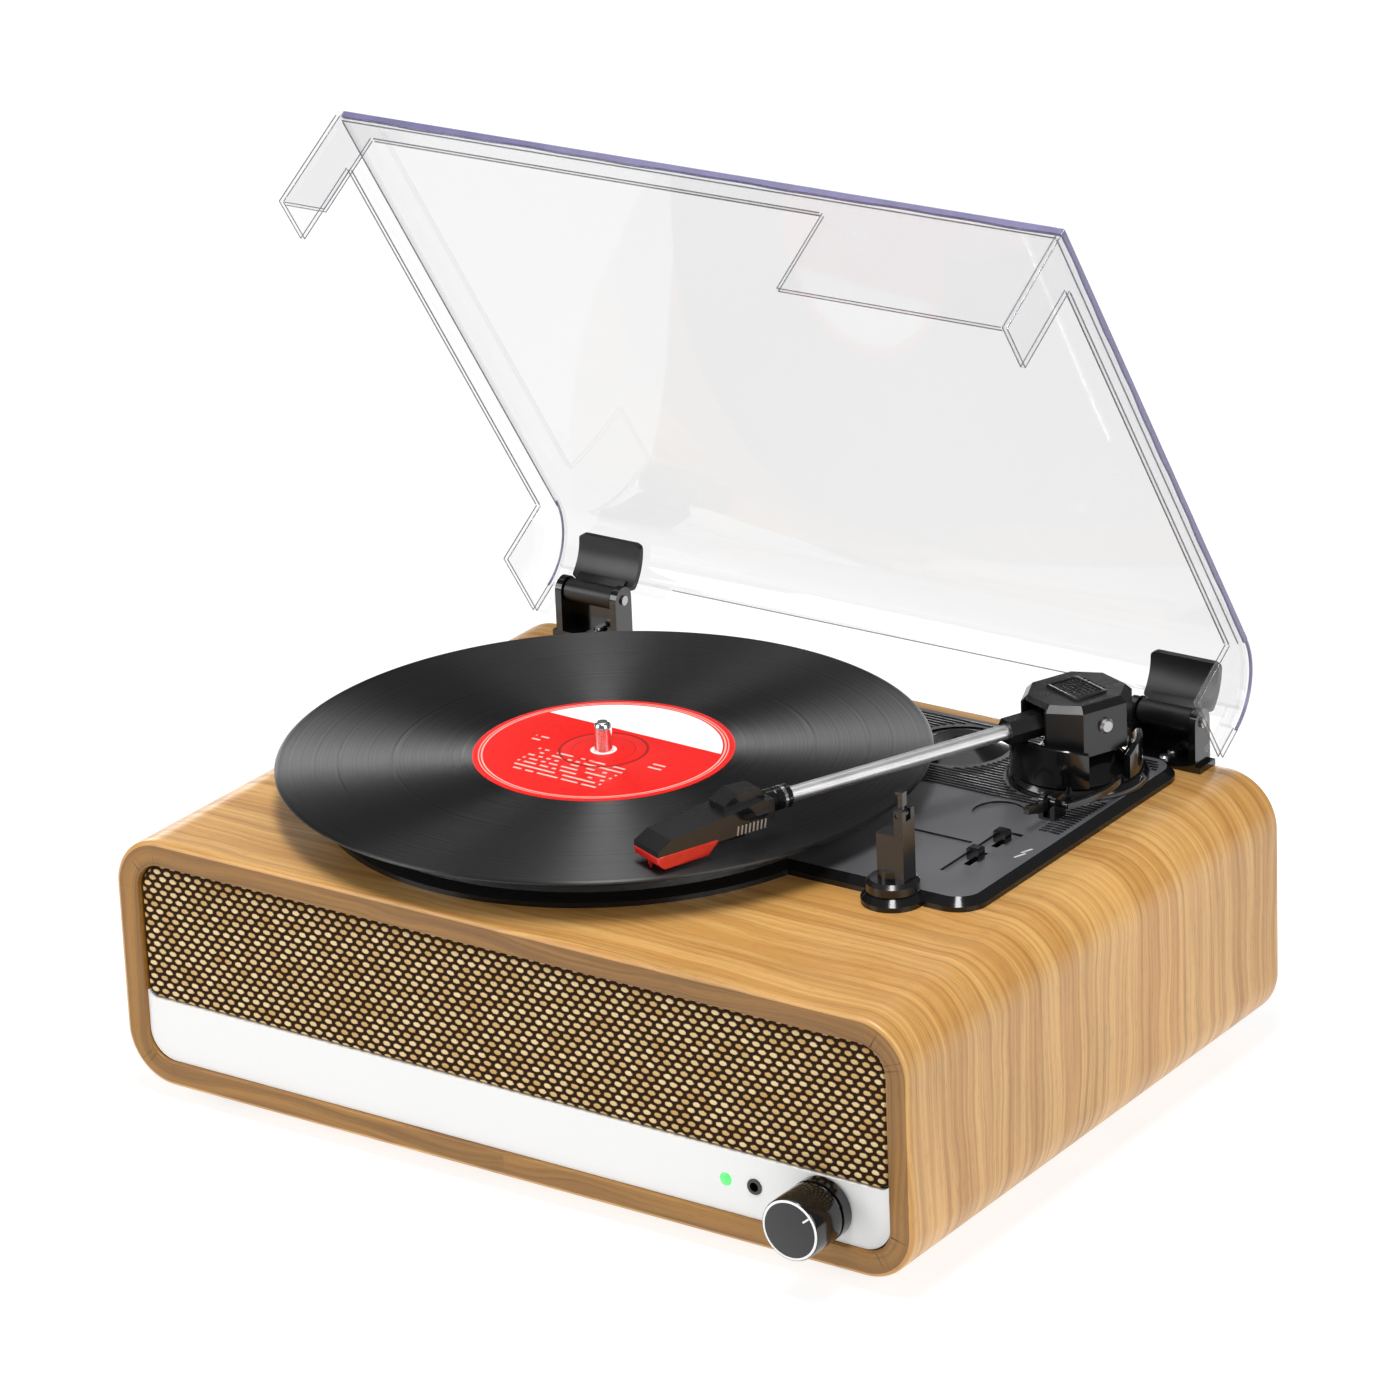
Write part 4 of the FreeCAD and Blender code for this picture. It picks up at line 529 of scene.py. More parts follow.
def metal(name, colour, grain, detail, spread, rough):
    """Plated or bare metal rubbed along a grain, given in cells a metre along each axis: its roughness goes
    from the first value to the second as the pattern passes through its spread."""
    finish, tree, shader = surface(name, Base_Color=linear(colour), Metallic=1.0)
    rubbed = add(tree, "TexNoise", {"Vector": add(tree, "Mapping", {"Vector": add(tree, "TexCoord",
        out="Object"), "Scale": grain}), "Scale": 1.0, "Detail": detail})
    lead(shader, Roughness=add(tree, "MapRange", {"Value": rubbed, "From Min": spread[0],
        "From Max": spread[1], "To Min": rough[0], "To Max": rough[1]}))
    return finish


plated = metal("zinc_plated_steel", "#b9b9bb", (400, 3000, 400), 3.0, (0, 1), (0.25, 0.45))
dress(plated, "foot_screws", "small_screws", "hinge_screws", "hinge_pins", "line_sockets", "board_standoffs",
    "motor", "pivot_shaft", "pivot_yoke", "counterweight")

# ---- Inside -------------------------------------------------------------------------------------
# Paper-coned speakers on pressed baskets, two printed boards, a finned extrusion, the motor's pulley
# and the bearing. Only a person with the back off sees them.

board_green, tree, shader = surface("solder_masked_laminate", Base_Color=linear("#1d5a33"), Roughness=0.35)
tracks = add(tree, "TexBrick", {"Vector": add(tree, "TexCoord", out="Object"), "Color1": linear("#1d5a33"),
    "Color2": linear("#1a5230"), "Mortar": linear("#2f7a49"), "Scale": 90.0, "Mortar Size": 0.02})
lead(shader, Base_Color=tracks)
dress(board_green, "control_board", "amplifier_board")
cast_metal, tree, shader = surface("turned_cast_aluminium", Base_Color=linear("#c9cacc"), Metallic=1.0,
    Roughness=0.38)
skin = add(tree, "TexNoise", {"Vector": add(tree, "TexCoord", out="Object"), "Scale": 900.0, "Detail": 3.0})
lead(shader, Normal=add(tree, "Bump", {"Height": skin, "Strength": 0.3, "Distance": 0.00005}))
dress(cast_metal, "heat_sink", "platter", "platter_bearing", "motor_pulley")
dress(black_satin, "speaker_baskets", "board_capacitors", "switch_bodies")
dress(moulded("pressed_paper_pulp", "#161514", 0.85, 0.8, 0.06), "speaker_cones")
dress(moulded("coated_ferrite", "#2b2b2d", 0.55, 0.4, 0.02), "speaker_magnets")
dress(rubber, "drive_belt", "platter_mat")

# ---- Deck ---------------------------------------------------------------------------------------
# One black ABS moulding let into the cabinet's top. Its back half and right edge are finely ribbed,
# its front half is a smooth spark-eroded satin. Two printed marks show the start of the switches.

# Faces that look up are painted a cloudy grey, a painted sheen of the lights on the satin; walls, bevels and
# ribs are left polished black.
deck_black, tree, shader = surface("deck_abs_painted_sheen", Roughness=0.3)
place = add(tree, "TexCoord", out="Object")
level = add(tree, "SeparateXYZ", {"Vector": add(tree, "NewGeometry", out="Normal")}, "Z")
flat = add(tree, "MapRange", {"Value": level, "From Min": 0.9, "From Max": 0.99})
cloudy = add(tree, "TexNoise", {"Vector": place, "Scale": 12.0, "Detail": 2.0})
painted_sheen = add(tree, "Mix", {0: cloudy, 6: linear("#515154"), 7: linear("#646467")}, data_type="RGBA")
shade = add(tree, "Mix", {0: flat, 6: linear("#141415"), 7: painted_sheen}, data_type="RGBA")
lead(shader, Base_Color=shade)
spark = add(tree, "TexNoise", {"Vector": place, "Scale": 2500.0, "Detail": 2.0})
lead(shader, Roughness=add(tree, "MapRange", {"Value": flat, "To Min": 0.14, "To Max": 0.34}))
lead(shader, Normal=add(tree, "Bump", {"Height": spark, "Strength": 0.4, "Distance": 0.000004}))
rib_black = moulded("ribbed_black_abs", "#1b1b1c", 0.22, 0.6, 0.003, 0.3)
dress(deck_black, "deck_plate")
dress(black_gloss, "single_adapter", "speed_switch", "auto_stop_switch")
deck_top = span("deck_plate")[1][2]
spindle_at, pivot_at, adapter_at = np.array([-36.0, -8.0]), np.array([117.0, 85.0]), np.array([62.5, 88.0])
rib_pitch, rib_half, rib_high = 2.2, 0.62, 0.45


def ridge(x_0, x_1, y, z):
    """Ridge along X: a crowned section scaled from nothing to full over its last half millimetre."""
    along = np.array([x_0, x_0 + 0.15, x_0 + 0.5, x_1 - 0.5, x_1 - 0.15, x_1])
    full = np.array([0.0, 0.7, 1, 1, 0.7, 0.0])[:, None]
    section = np.array([-1, -0.75, 0, 0.75, 1])
    across = y + rib_half * section * full
    height = z + rib_high * np.array([-0.1, 0.8, 1, 0.8, -0.1]) * full - 0.02
    return np.stack([np.broadcast_to(along[:, None], across.shape), across, height], -1), lattice(6, 5)


rooms = [(spindle_at, 104.5), (pivot_at, 28.0), (adapter_at, 22.0), (np.array([109.5, 40.5]), 12.0)]
ribs = []
for y in np.arange(33.0, 111.5, rib_pitch):
    low = -55 if y > 52 else 122.5 if y > 46 else 131.5
    edge = 141 - max(0, y - 101) ** 2 / 22
    clear = [(low, edge)]
    for (x_0, y_0), reach in rooms:
        if abs(y - y_0) < reach:
            half = math.sqrt(reach ** 2 - (y - y_0) ** 2)
            clear = [part for a, b in clear for part in ((a, min(b, x_0 - half)), (max(a, x_0 + half), b))]
    ribs += [ridge(a, b, y, deck_top) for a, b in clear if b - a > 2.5]
piece("deck_ribs", *joined(*ribs), rib_black, "base", "matte_black", outward=False, weld=False)

print_silver = moulded("silver_pad_print", "#c9cacc", 0.45, 0.3, 0.002)
marks = []
for start in (6.6, 11.4):
    corners = rounded([(136.8, start), (137.8, start), (139.6, start + 5), (138.6, start + 5)], 0.15, 2)
    marks.append(slab(corners, deck_top - 0.05, deck_top + 0.06, 0.03, 2))
piece("switch_marks", *joined(*marks), print_silver, "base", "white_plastic")

# ---- Record and label ---------------------------------------------------------------------------
# Pressed vinyl with three bands of grooves between smoother gaps. Grooves a tenth of a millimetre
# apart scatter light across themselves, so its shine fans out along the radius in wedges.

record_top = span("record")[1][2]
radii = np.concatenate([[3.65, 16.2, 16.6, 17.0, 17.4], np.arange(50.0, 124.01, 0.5), [124.4, 124.8, 125]])
height = np.zeros_like(radii)
height[(radii > 16.4) & (radii < 17.2)] = -0.06
height += np.where(radii > 122.5, 0.0, np.where(radii > 53, -0.08, 0.0))
height[radii > 124.2] = [-0.1, -0.35, -0.75]
for gap in (57.5, 79.5, 80.0, 100.5, 119.5):
    height[abs(radii - gap) < 0.3] -= 0.06
upper = np.column_stack([radii, height])
lower = np.column_stack([[125, 124.8, 124.4, 124, 3.65], [-0.95, -1.35, -1.6, -1.7, -1.7]])
profile = np.vstack([upper, lower, upper[:1]])
disc = lathe(profile, (*spindle_at, record_top), 256)
disc = np.concatenate([disc, disc[:, :1]], 1)
groove_uv = np.stack(np.broadcast_arrays(
    np.cumsum(np.concatenate([[0], np.linalg.norm(np.diff(profile, axis=0), axis=1)])) [:, None] / 100,
    np.linspace(0, 6.28, disc.shape[1])), -1)
vinyl, tree, shader = surface("pressed_black_vinyl", Base_Color=linear("#0b0b0c"), Roughness=0.42, IOR=1.53,
    Anisotropic=0.95, Specular_IOR_Level=0.6)
lead(shader, Tangent=add(tree, "Tangent", direction_type="UV_MAP", uv_map="UVMap"))
from_spindle = add(tree, "VectorMath", {0: add(tree, "TexCoord", out="Object"), 1: (spindle_at[0] / 1000,
    (spindle_at[1] + cabinet_middle[1]) / 1000, 0.0)}, operation="SUBTRACT")
flat = add(tree, "VectorMath", {0: from_spindle, 1: (1.0, 1.0, 0.0)}, operation="MULTIPLY")
radius = add(tree, "VectorMath", {0: flat}, operation="LENGTH")
bands = add(tree, "TexNoise", {"W": radius, "Scale": 900.0, "Detail": 6.0, "Roughness": 0.75},
    noise_dimensions="1D")
lead(shader, Roughness=add(tree, "MapRange", {"Value": bands, "From Min": 0.35, "From Max": 0.65,
    "To Min": 0.34, "To Max": 0.52}))
# The base colour goes a shade lighter and darker along the radius: painted sheen of the groove bands.
painted_groove_sheen = add(tree, "Mix", {0: bands, 6: linear("#030303"), 7: linear("#0e0e0f")}, data_type="RGBA")
lead(shader, Base_Color=painted_groove_sheen)
piece("record_pressing", disc, lattice(*disc.shape[:2]), vinyl, "platter", "vinyl", ["record"], groove_uv,
    outward=False)

# Printed paper pressed into the disc: red with a white cap, a pale double line near its edge and
# rows of short dashes in place of print.
label, tree, shader = surface("printed_label_paper", Roughness=0.5, Specular_IOR_Level=0.2)
tilt = math.radians(-1.9)
place = add(tree, "Mapping", {"Vector": add(tree, "VectorMath", {0: add(tree, "TexCoord", out="Object"),
    1: (spindle_at[0] / 1000, (spindle_at[1] + cabinet_middle[1]) / 1000, 0.0)}, operation="SUBTRACT"),
    "Rotation": (0.0, 0.0, -tilt), "Scale": (1000, 1000, 0)})
part = add(tree, "SeparateXYZ", {"Vector": place})
radius = add(tree, "VectorMath", {0: place}, operation="LENGTH")
mottle = add(tree, "TexNoise", {"Vector": place, "Scale": 0.35, "Detail": 4.0})
colour = add(tree, "Mix", {0: mottle, 6: linear("#ea1c14"), 7: linear("#d8120d")}, data_type="RGBA")
across, up, out = part.node.outputs["X"], part.node.outputs["Y"], radius
across_squared = add(tree, "Math", {0: across, 1: 2.0}, operation="POWER")
cell_x = add(tree, "Math", {0: across, 1: 1.9}, operation="SNAP")
cell_y = add(tree, "Math", {0: up, 1: 3.3}, operation="SNAP")
letter = add(tree, "TexWhiteNoise", {"Vector": add(tree, "CombineXYZ", {"X": cell_x, "Y": cell_y})},
    noise_dimensions="2D")
in_row = add(tree, "Math", {0: up, 1: cell_y}, operation="SUBTRACT")
dashes = [(letter, 0.67, 0.33, 0.001), (in_row, 1.6, 0.55, 0.12), (out, 0.0, 41.0, 0.12)]

# Each mark is a colour laid where every one of its values is within a half width of a middle, softened
# at the border: the cap, the block of dashes, the dashes at both sides, and the rings. The dark red ring
# at 16.8 mm is painted shade in the groove pressed into the paper.
prints_and_painted_shade = [("#ffffff", [(up, 34.5, 15.0, 0.12), (out, 0.0, 45.2, 0.12)]), ("#f2c1b6", [(up, -22.0, 11.5, 0.12),
    (across, -1.0, 21.0, 0.12), *dashes]), ("#f2c1b6", [(up, -3.2, 3.4, 0.12), (across_squared, 784.0, 170.0,
    5.0), *dashes]), ("#f3b3a8", [(out, 46.3, 0.32, 0.12)]), ("#f3b3a8", [(out, 47.5, 0.2, 0.12)]),
    # Painted shade: the dark red ring lies in the groove pressed at 16.5 to 17.2 mm.
    ("#8f0f0d", [(out, 16.8, 0.5, 0.3)]), ("#b51713", [(out, 12.2, 0.2, 0.2)]),
    ("#efe6e0", [(out, 4.3, 0.75, 0.12)])]
for code, tests in prints_and_painted_shade:
    mask = None
    for value, middle, half, soft in tests:
        away = add(tree, "Math", {0: value, 1: middle}, operation="SUBTRACT")
        size = add(tree, "Math", {0: away}, operation="ABSOLUTE")
        inside = add(tree, "MapRange", {"Value": size, "From Min": half + soft, "From Max": half - soft})
        mask = inside if mask is None else add(tree, "Math", {0: mask, 1: inside}, operation="MULTIPLY")
    colour = add(tree, "Mix", {0: mask, 6: colour, 7: linear(code)}, data_type="RGBA")
lead(shader, Base_Color=colour)
fibre = add(tree, "TexNoise", {"Vector": place, "Scale": 3.0, "Detail": 4.0})
lead(shader, Normal=add(tree, "Bump", {"Height": fibre, "Strength": 0.3, "Distance": 0.00004}))
pressed = [(3.65, 0.02), (3.9, 0.2), (15.9, 0.2), (16.5, 0.05), (17.2, 0.05), (17.8, 0.2), (49.2, 0.2),
    (49.8, 0.12), (50, 0.02), (3.65, 0.02)]
piece("paper_label", *several([lathe(pressed, (*spindle_at, record_top), 128)]), label, "platter",
    "paper_label", ["record_label"])

# The spindle is a turned and plated pin, domed at its tip and a shade slimmer above the record.
chrome = metal("bright_chrome_plate", "#f6f6f8", (120, 120, 120), 4.0, (0.3, 0.8), (0.12, 0.22))
spindle_low, spindle_high = span("spindle")
tip = spindle_high[2]
pin = [(0, spindle_low[2]), (3.4, spindle_low[2]), (3.55, record_top + 0.6), (3.46, record_top + 0.9),
    (3.46, tip - 3.2)]
pin += [(3.46 - 1.6 * (1 - math.cos(t)), tip - 3.2 + 2.9 * math.sin(t)) for t in np.linspace(0.15, 1.5, 8)]
pin += [(1.2, tip - 0.1), (0, tip)]
piece("spindle_pin", *several([lathe(pin, (*spindle_at, 0), 64)]), chrome, "platter", "chrome", ["spindle"])

# ---- Tonearm ------------------------------------------------------------------------------------
# A cone-footed moulding carries the arm: a polished aluminium tube in a six-sided sleeve, pivoted in an
# eight-sided housing. The guard is moulded with the cone; the lift wall moves on its own stems.

lift_wall_low = 118.0
cone = [(5.2, 113.02), (27, 113.02), (27.05, 115.0), (26.7, 115.6), (25.6, 117), (22.4, 117.05),
    (21.6, 117.5)]
cone += [(21.4 - 8.2 * t, 117.6 + 8.0 * t ** 0.85) for t in np.linspace(0.08, 1, 10)]
cone += [(13, 126.4), (12.8, 127.2), (12.3, 127.5), (5.2, 127.5), (5.2, 113.02)]
pedestal = [several([lathe(cone, (*pivot_at, 0), 160)])]


def curved_wall(inner, outer, low, tops, from_turn, to_turn, steps=40):
    """Wall bent round the pivot: at each turn it is a rounded rectangle between two radii, from its foot to
    a height read off evenly along the wall."""
    turn = np.radians(np.linspace(from_turn, to_turn, steps))
    high = np.interp(np.linspace(0, 1, steps), np.linspace(0, 1, len(tops)), tops)
    soft = min(0.4, (outer - inner) * 0.4)
    reach = np.array([outer, outer, outer - soft, inner + soft, inner, inner])
    level = np.stack([np.full(steps, low), high - soft, high, high, high - soft, np.full(steps, low)], -1)
    rings = np.stack([pivot_at[0] + np.cos(turn)[:, None] * reach, pivot_at[1] + np.sin(turn)[:, None]
        * reach, level], -1)
    faces = lattice(steps, 6, False, True)
    faces += [list(range(6)), [(steps - 1) * 6 + i for i in range(6)][::-1]]
    return rings.reshape(-1, 3), faces


pedestal.append(curved_wall(22.4, 24.8, 113.1, (127, 129.8, 130, 130, 129.8, 126), -6, 56))
piece("pedestal_moulding", *joined(*pedestal), black_gloss, "base", "gloss_black", ["tonearm_pedestal"])

arm_turn, arm_z = math.radians(-22.4), 139.0


def on_arm(points):
    """Points drawn round the pivot with the arm along -Y, turned about Z to the arm's place at rest."""
    points = np.reshape(points, (-1, 3))
    c, s = math.cos(arm_turn), math.sin(arm_turn)
    x, y = points[:, 0], points[:, 1]
    return np.column_stack([pivot_at[0] + c * x - s * y, pivot_at[1] + s * x + c * y, points[:, 2]])


def along_arm(profile, steps=48):
    """Profile of (radius, distance in front of the pivot) turned about the arm's own line."""
    rings = lathe(profile, (0, 0, 0), steps)
    points, faces = several([np.stack([rings[..., 0], -rings[..., 2], rings[..., 1] + arm_z], -1)])
    return on_arm(points), faces


dress(black_satin, "pivot_housing", "arm_rocker", "headshell")
dress(black_gloss, "cartridge", "rest_clip", "cue_bracket")
dress(black_satin, "arm_rest")
dress(plated, "pivot_screws")

# Drawn aluminium, polished along its length: a pale metal with broad soft highlights.
aluminium = metal("polished_drawn_aluminium", "#ffffff", (60, 60, 60), 3.0, (0.3, 0.7), (0.32, 0.4))
tube = [(2.3, 12), (2.9, 12)] + [(2.9, 12 + 2 * i) for i in range(1, 67)] + [(2.9, 146), (2.3, 146),
    (2.3, 12)]
piece("tonearm_tube_drawn", *along_arm(tube, 64), aluminium, "arm", "chrome", ["tonearm_tube"])
collar = [(2.9, 130.8), (4.1, 131), (4.45, 131.4), (4.45, 137.6), (4.1, 137.9), (4.1, 138.4), (4.5, 138.7),
    (4.5, 141.6), (4.2, 142), (2.9, 142)]
piece("collar_turned", *along_arm(collar, 64), black_gloss, "arm", "gloss_black", ["tonearm_collar"])
band = [(4.3, 133.4), (4.52, 133.5), (4.52, 134.7), (4.3, 134.8)]
piece("collar_band", *along_arm(band, 64), chrome, "arm", "chrome")

# A pressed grille is set in the roof of the housing: eight by five small openings in a frame.
roof = 148.1
bars = []
for x in np.linspace(-7.4, 7.4, 9):
    bars.append(slab(pane(x - 0.35, x + 0.35, -5.2, 5.2, 0.1, 2), roof - 0.1, roof + 0.42, 0.12, 2))
for y in np.linspace(-5.2, 5.2, 6):
    bars.append(slab(pane(-7.7, 7.7, y - 0.35, y + 0.35, 0.1, 2), roof - 0.1, roof + 0.38, 0.12, 2))
outer = pane(-10, 10, -7.4, 7.4, 1.2, 4)
inner = pane(-8.3, 8.3, -5.9, 5.9, 0.6, 4)
frame_rings = np.array([np.column_stack([ring, np.full(len(ring), level)]) for ring,
    level in ((outer, roof - 0.05), (inset(outer, 0.1), roof + 0.5), (inset(outer, 0.4), roof + 0.7),
    (inset(inner, -0.4), roof + 0.7), (inset(inner, -0.1), roof + 0.5), (inner, roof - 0.05))])
bars.append((frame_rings, lattice(*frame_rings.shape[:2], True, True)))
points, faces = joined(*bars)
piece("housing_grille", on_arm(points), faces, black_satin, "arm_pivot", "matte_black")
# A near-black sheet under the bars is painted shade, so the openings look deep and dark.
pan = slab(pane(-8.3, 8.3, -5.9, 5.9, 0.4, 3), roof - 0.3, roof + 0.06, 0.02, 1)
piece("grille_floor", on_arm(pan[0]), pan[1], moulded("painted_shade_under_grille", "#050505", 0.9, 0.5, 0.02),
    "arm_pivot", "matte_black")

# Red translucent polystyrene holds the needle.
stylus_red, tree, shader = surface("translucent_red_styrene", Base_Color=linear("#e0201a"), Roughness=0.22,
    Subsurface_Weight=0.3, Coat_Weight=0.4)
swirl = add(tree, "TexNoise", {"Vector": add(tree, "TexCoord", out="Object"), "Scale": 500.0, "Detail": 3.0})
blush = add(tree, "Mix", {0: swirl, 6: linear("#e8261d"), 7: linear("#c8130f")}, data_type="RGBA")
lead(shader, Base_Color=blush)
guard = np.array([(-165.5, 133.8), (-171.5, 128.3), (-190.3, 127.7), (-193.0, 130.2), (-193.3, 133.2)])
shell = slab(rounded(guard[::-1] if np.cross(guard, np.roll(guard, -1, 0)).sum() < 0 else guard, 0.8, 4),
    -8.15, 8.15, 0.5, 3)
needle = lathe([(0, 126.35), (0.35, 126.4), (1.1, 128.6), (0, 128.6)], (0, -191.2, 0), 24)
points, faces = joined((shell[0][:, [2, 0, 1]], shell[1]), several([needle]))
piece("stylus_guard", on_arm(points), faces, stylus_red, "arm", "stylus_red", ["stylus"])
fins = []
for y in np.arange(-159.0, -146.0, 1.7):
    fin = slab(rounded([(y, 132.8), (y + 0.7, 132.8), (y + 1.3, 136.4), (y + 0.6, 136.4)], 0.15, 2), 7.8,
        8.25, 0.1, 2)
    fins.append((fin[0][:, [2, 0, 1]], fin[1]))
points, faces = joined(*fins)
piece("headshell_fins", on_arm(points), faces, plated, "arm", "steel")

# The lift wall stands on two stems and is bent round the pivot under the arm.
turns = (-135, -49)
wall = curved_wall(23.6, 26.2, lift_wall_low, (131.5, 133.2, 133.6, 133.6, 133.2, 131.5), *turns)
stems = [several([lathe([(0, 102.2), (1.5, 102.2), (1.5, 119), (0, 119)],
    (pivot_at[0] + 24.9 * math.cos(math.radians(turn)), pivot_at[1] + 24.9 * math.sin(math.radians(turn)), 0),
    24)]) for turn in (-118, -66)]
piece("lift_wall", *joined(wall, *stems), black_gloss, "lift", "gloss_black", ["lift_platform"])

# ---- Cue lever ----------------------------------------------------------------------------------
# A see-saw moulding: a thumb handle in front of its pivot, and a bar that follows the pedestal.

bar_turn = np.radians(np.linspace(-27, 16, 60))
section = 1.3 * np.exp(1j * np.linspace(0, 2 * np.pi, 12, endpoint=False))
taper = np.sin(np.clip(np.linspace(0.04, 0.96, 60) * np.pi, 0.15, np.pi - 0.15)) ** 0.25
reach = 45.7 + section.real * taper[:, None]
bar = np.stack([95.5 + reach * np.cos(bar_turn)[:, None], 66 + reach * np.sin(bar_turn)[:, None], 119 + 0.92
    * section.imag * taper[:, None]], -1)
faces = lattice(60, 12, False, True) + [list(range(12))[::-1], [59 * 12 + i for i in range(12)]]
dress(black_gloss, "cue_lever")
piece("cue_bar_cap", bar + (0, 0, 0.35), faces, black_gloss, "cue_lever", "gloss_black")

# ---- Hinges -------------------------------------------------------------------------------------
# Two black moulded hinges: a bracket screwed to the cabinet and a curved leaf that slides into a
# pocket in the cover's bend.

dress(black_gloss, "hinge_brackets")
hinge_x, hinge_y, hinge_z, open_turn = 134, 123.5, 127, math.radians(-57.5)


def opened(points):
    """Points drawn round the hinge line with the cover shut, turned about X to where it stands at rest."""
    points = np.reshape(points, (-1, 3))
    c, s = math.cos(open_turn), math.sin(open_turn)
    y, z = points[:, 1], points[:, 2]
    return np.column_stack([points[:, 0], hinge_y + c * y - s * z, hinge_z + s * y + c * z])


leaf_centre = (-18.7, 3.5)
leaf_finish = moulded("grained_black_leaf", "#161618", 0.38, 0.6, 0.012)
leaves = []
for middle_x in (-hinge_x, hinge_x):
    turn = np.radians(np.linspace(9, 62, 25))
    across = np.linspace(-1, 1, 17)
    ends = np.minimum(np.arange(25), np.arange(25)[::-1]) * 22.0 * math.radians(53) / 24
    half = 14.95 - 2.2 * (1 - np.sqrt(np.clip(1 - (1 - np.clip(ends / 2.2, 0, 1)) ** 2, 0, 1)))
    x = middle_x + half[:, None] * across
    outline = []
    for reach, flip in ((22.3, 1), (19.8, -1)):
        y = leaf_centre[0] + reach * np.cos(turn)[:, None]
        z = leaf_centre[1] + reach * np.sin(turn)[:, None]
        outline.append(np.stack(np.broadcast_arrays(x, y, z), -1)[:, ::flip])
    ring = np.concatenate(outline, 1)
    faces = lattice(25, 34, False, True)
    faces += [list(range(34))[::-1], [24 * 34 + i for i in range(34)]]
    leaves.append((ring, faces))
    low, high = middle_x - 11.6, middle_x + 11.6
    barrel = lathe([(2.06, low), (4.2, low), (4.6, low + 0.4), (4.6, high - 0.4), (4.2, high), (2.06, high),
        (2.06, low)], (0, 0, 0), 48)
    leaves.append(several([np.stack([barrel[..., 2], barrel[..., 0], barrel[..., 1]], -1)]))
    web = slab(rounded([(-1, 2.5), (3, 2.5), (3.2, 9.2), (-0.6, 9.2)], 0.4, 3), low, high, 0.3, 2)
    leaves.append((web[0][:, [2, 0, 1]], web[1]))
points, faces = joined(*leaves)
webs = []
for middle_x in (-hinge_x, hinge_x):
    back_web = slab(pane(middle_x - 12.1, middle_x + 12.1, 110.4, 121.4, 0.5, 3), 127.65, 128.05, 0.1, 2)
    webs.append((back_web[0][:, [0, 2, 1]], back_web[1]))
piece("hinge_bracket_webs", *joined(*webs), black_gloss, "base", "gloss_black")
piece("hinge_leaf_plates", opened(points), faces, leaf_finish, "cover", "gloss_black", ["hinge_leaves"])

# ---- Dust cover ---------------------------------------------------------------------------------
# Injection-moulded clear acrylic, 3 mm thick on top and 2.5 mm at the rim, with a 25 mm bend at the
# back. Its sides are cut away between the corners. Violet-grey strips along its polished edges are painted
# light, for light that runs inside the sheet; thin dark strips are painted shade.


def clear(name, passed, shine, ripple_mm):
    """Clear acrylic: what lies behind is dimmed a little at each face, and gloss is laid over it with weight
    0.04 + 0.9 (1 - cosine) ** 5; a slow ripple of a few hundredths of a millimetre bends the reflections."""
    material = bpy.data.materials.new(name)
    material.use_nodes = True
    tree = material.node_tree
    tree.nodes.remove(tree.nodes["Principled BSDF"])
    place = add(tree, "TexCoord", out="Object")
    ripple = add(tree, "TexNoise", {"Vector": place, "Scale": 14.0, "Detail": 2.0})
    bent = add(tree, "Bump", {"Height": ripple, "Strength": 1.0, "Distance": ripple_mm / 1000})
    haze = add(tree, "Mix", {0: add(tree, "TexNoise", {"Vector": place, "Scale": 6.0, "Detail": 3.0}),
        6: (*[passed - 0.006] * 3, 1), 7: (passed + 0.004, passed + 0.004, passed + 0.008, 1)},
        data_type="RGBA")
    through = add(tree, "BsdfTransparent", {"Color": haze})
    gloss = add(tree, "BsdfGlossy", {"Color": (shine, shine, shine, 1), "Roughness": 0.04, "Normal": bent},
        distribution="GGX")
    slant = add(tree, "LayerWeight", {"Blend": 0.5}, "Facing")
    steep = add(tree, "Math", {0: slant, 1: 5.0}, operation="POWER")
    share = add(tree, "Math", {0: steep, 1: 0.9, 2: 0.04}, operation="MULTIPLY_ADD")
    mixed = add(tree, "MixShader", {0: share, 1: through, 2: gloss})
    tree.links.new(mixed, tree.nodes["Material Output"].inputs["Surface"])
    return material


sheet = clear("clear_acrylic_sheet", 0.93, 0.75, 0.05)
rim = clear("clear_acrylic_rim", 0.965, 0.9, 0.02)


def painted_edge_light_and_shade(name, code, alpha):
    """Acrylic edge strip: painted light where light in the sheet comes out coloured, painted shade elsewhere.
    """
    material, tree, shader = surface(name, Base_Color=linear(code), Roughness=0.2, Alpha=alpha)
    streaks = add(tree, "TexNoise", {"Vector": add(tree, "TexCoord", out="Object"), "Scale": 90.0,
        "Detail": 3.0})
    base = linear(code)
    tone = add(tree, "Mix", {0: streaks, 6: (*[c * 0.75 for c in base[:3]], 1),
        7: (*[min(c * 1.3, 1) for c in base[:3]], 1)}, data_type="RGBA")
    lead(shader, Base_Color=tone)
    return material


# The violet strips are painted light and the dark lines painted shade.
violet_edge = painted_edge_light_and_shade("violet_painted_edge_light", "#76729c", 0.86)
shaded_edge = painted_edge_light_and_shade("shaded_inner_edge", "#66666e", 0.7)

side, wall, skirt_low, cut_high, tail_low = 160.95, 2.5, -17.95, 18.05, -9.95
front_in, back_out, top_out, top_in = -253.65, 6.15, 28.9, 26.02
bend = np.radians(np.linspace(90, 0, 25))
bend_y, outer_reach, inner_reach = -18.8, 24.95, 22.52
outer_bend = np.column_stack([bend_y + outer_reach * np.cos(bend), 4 + outer_reach * np.sin(bend)])
inner_bend = np.column_stack([bend_y + inner_reach * np.cos(bend), 3.5 + inner_reach * np.sin(bend)])


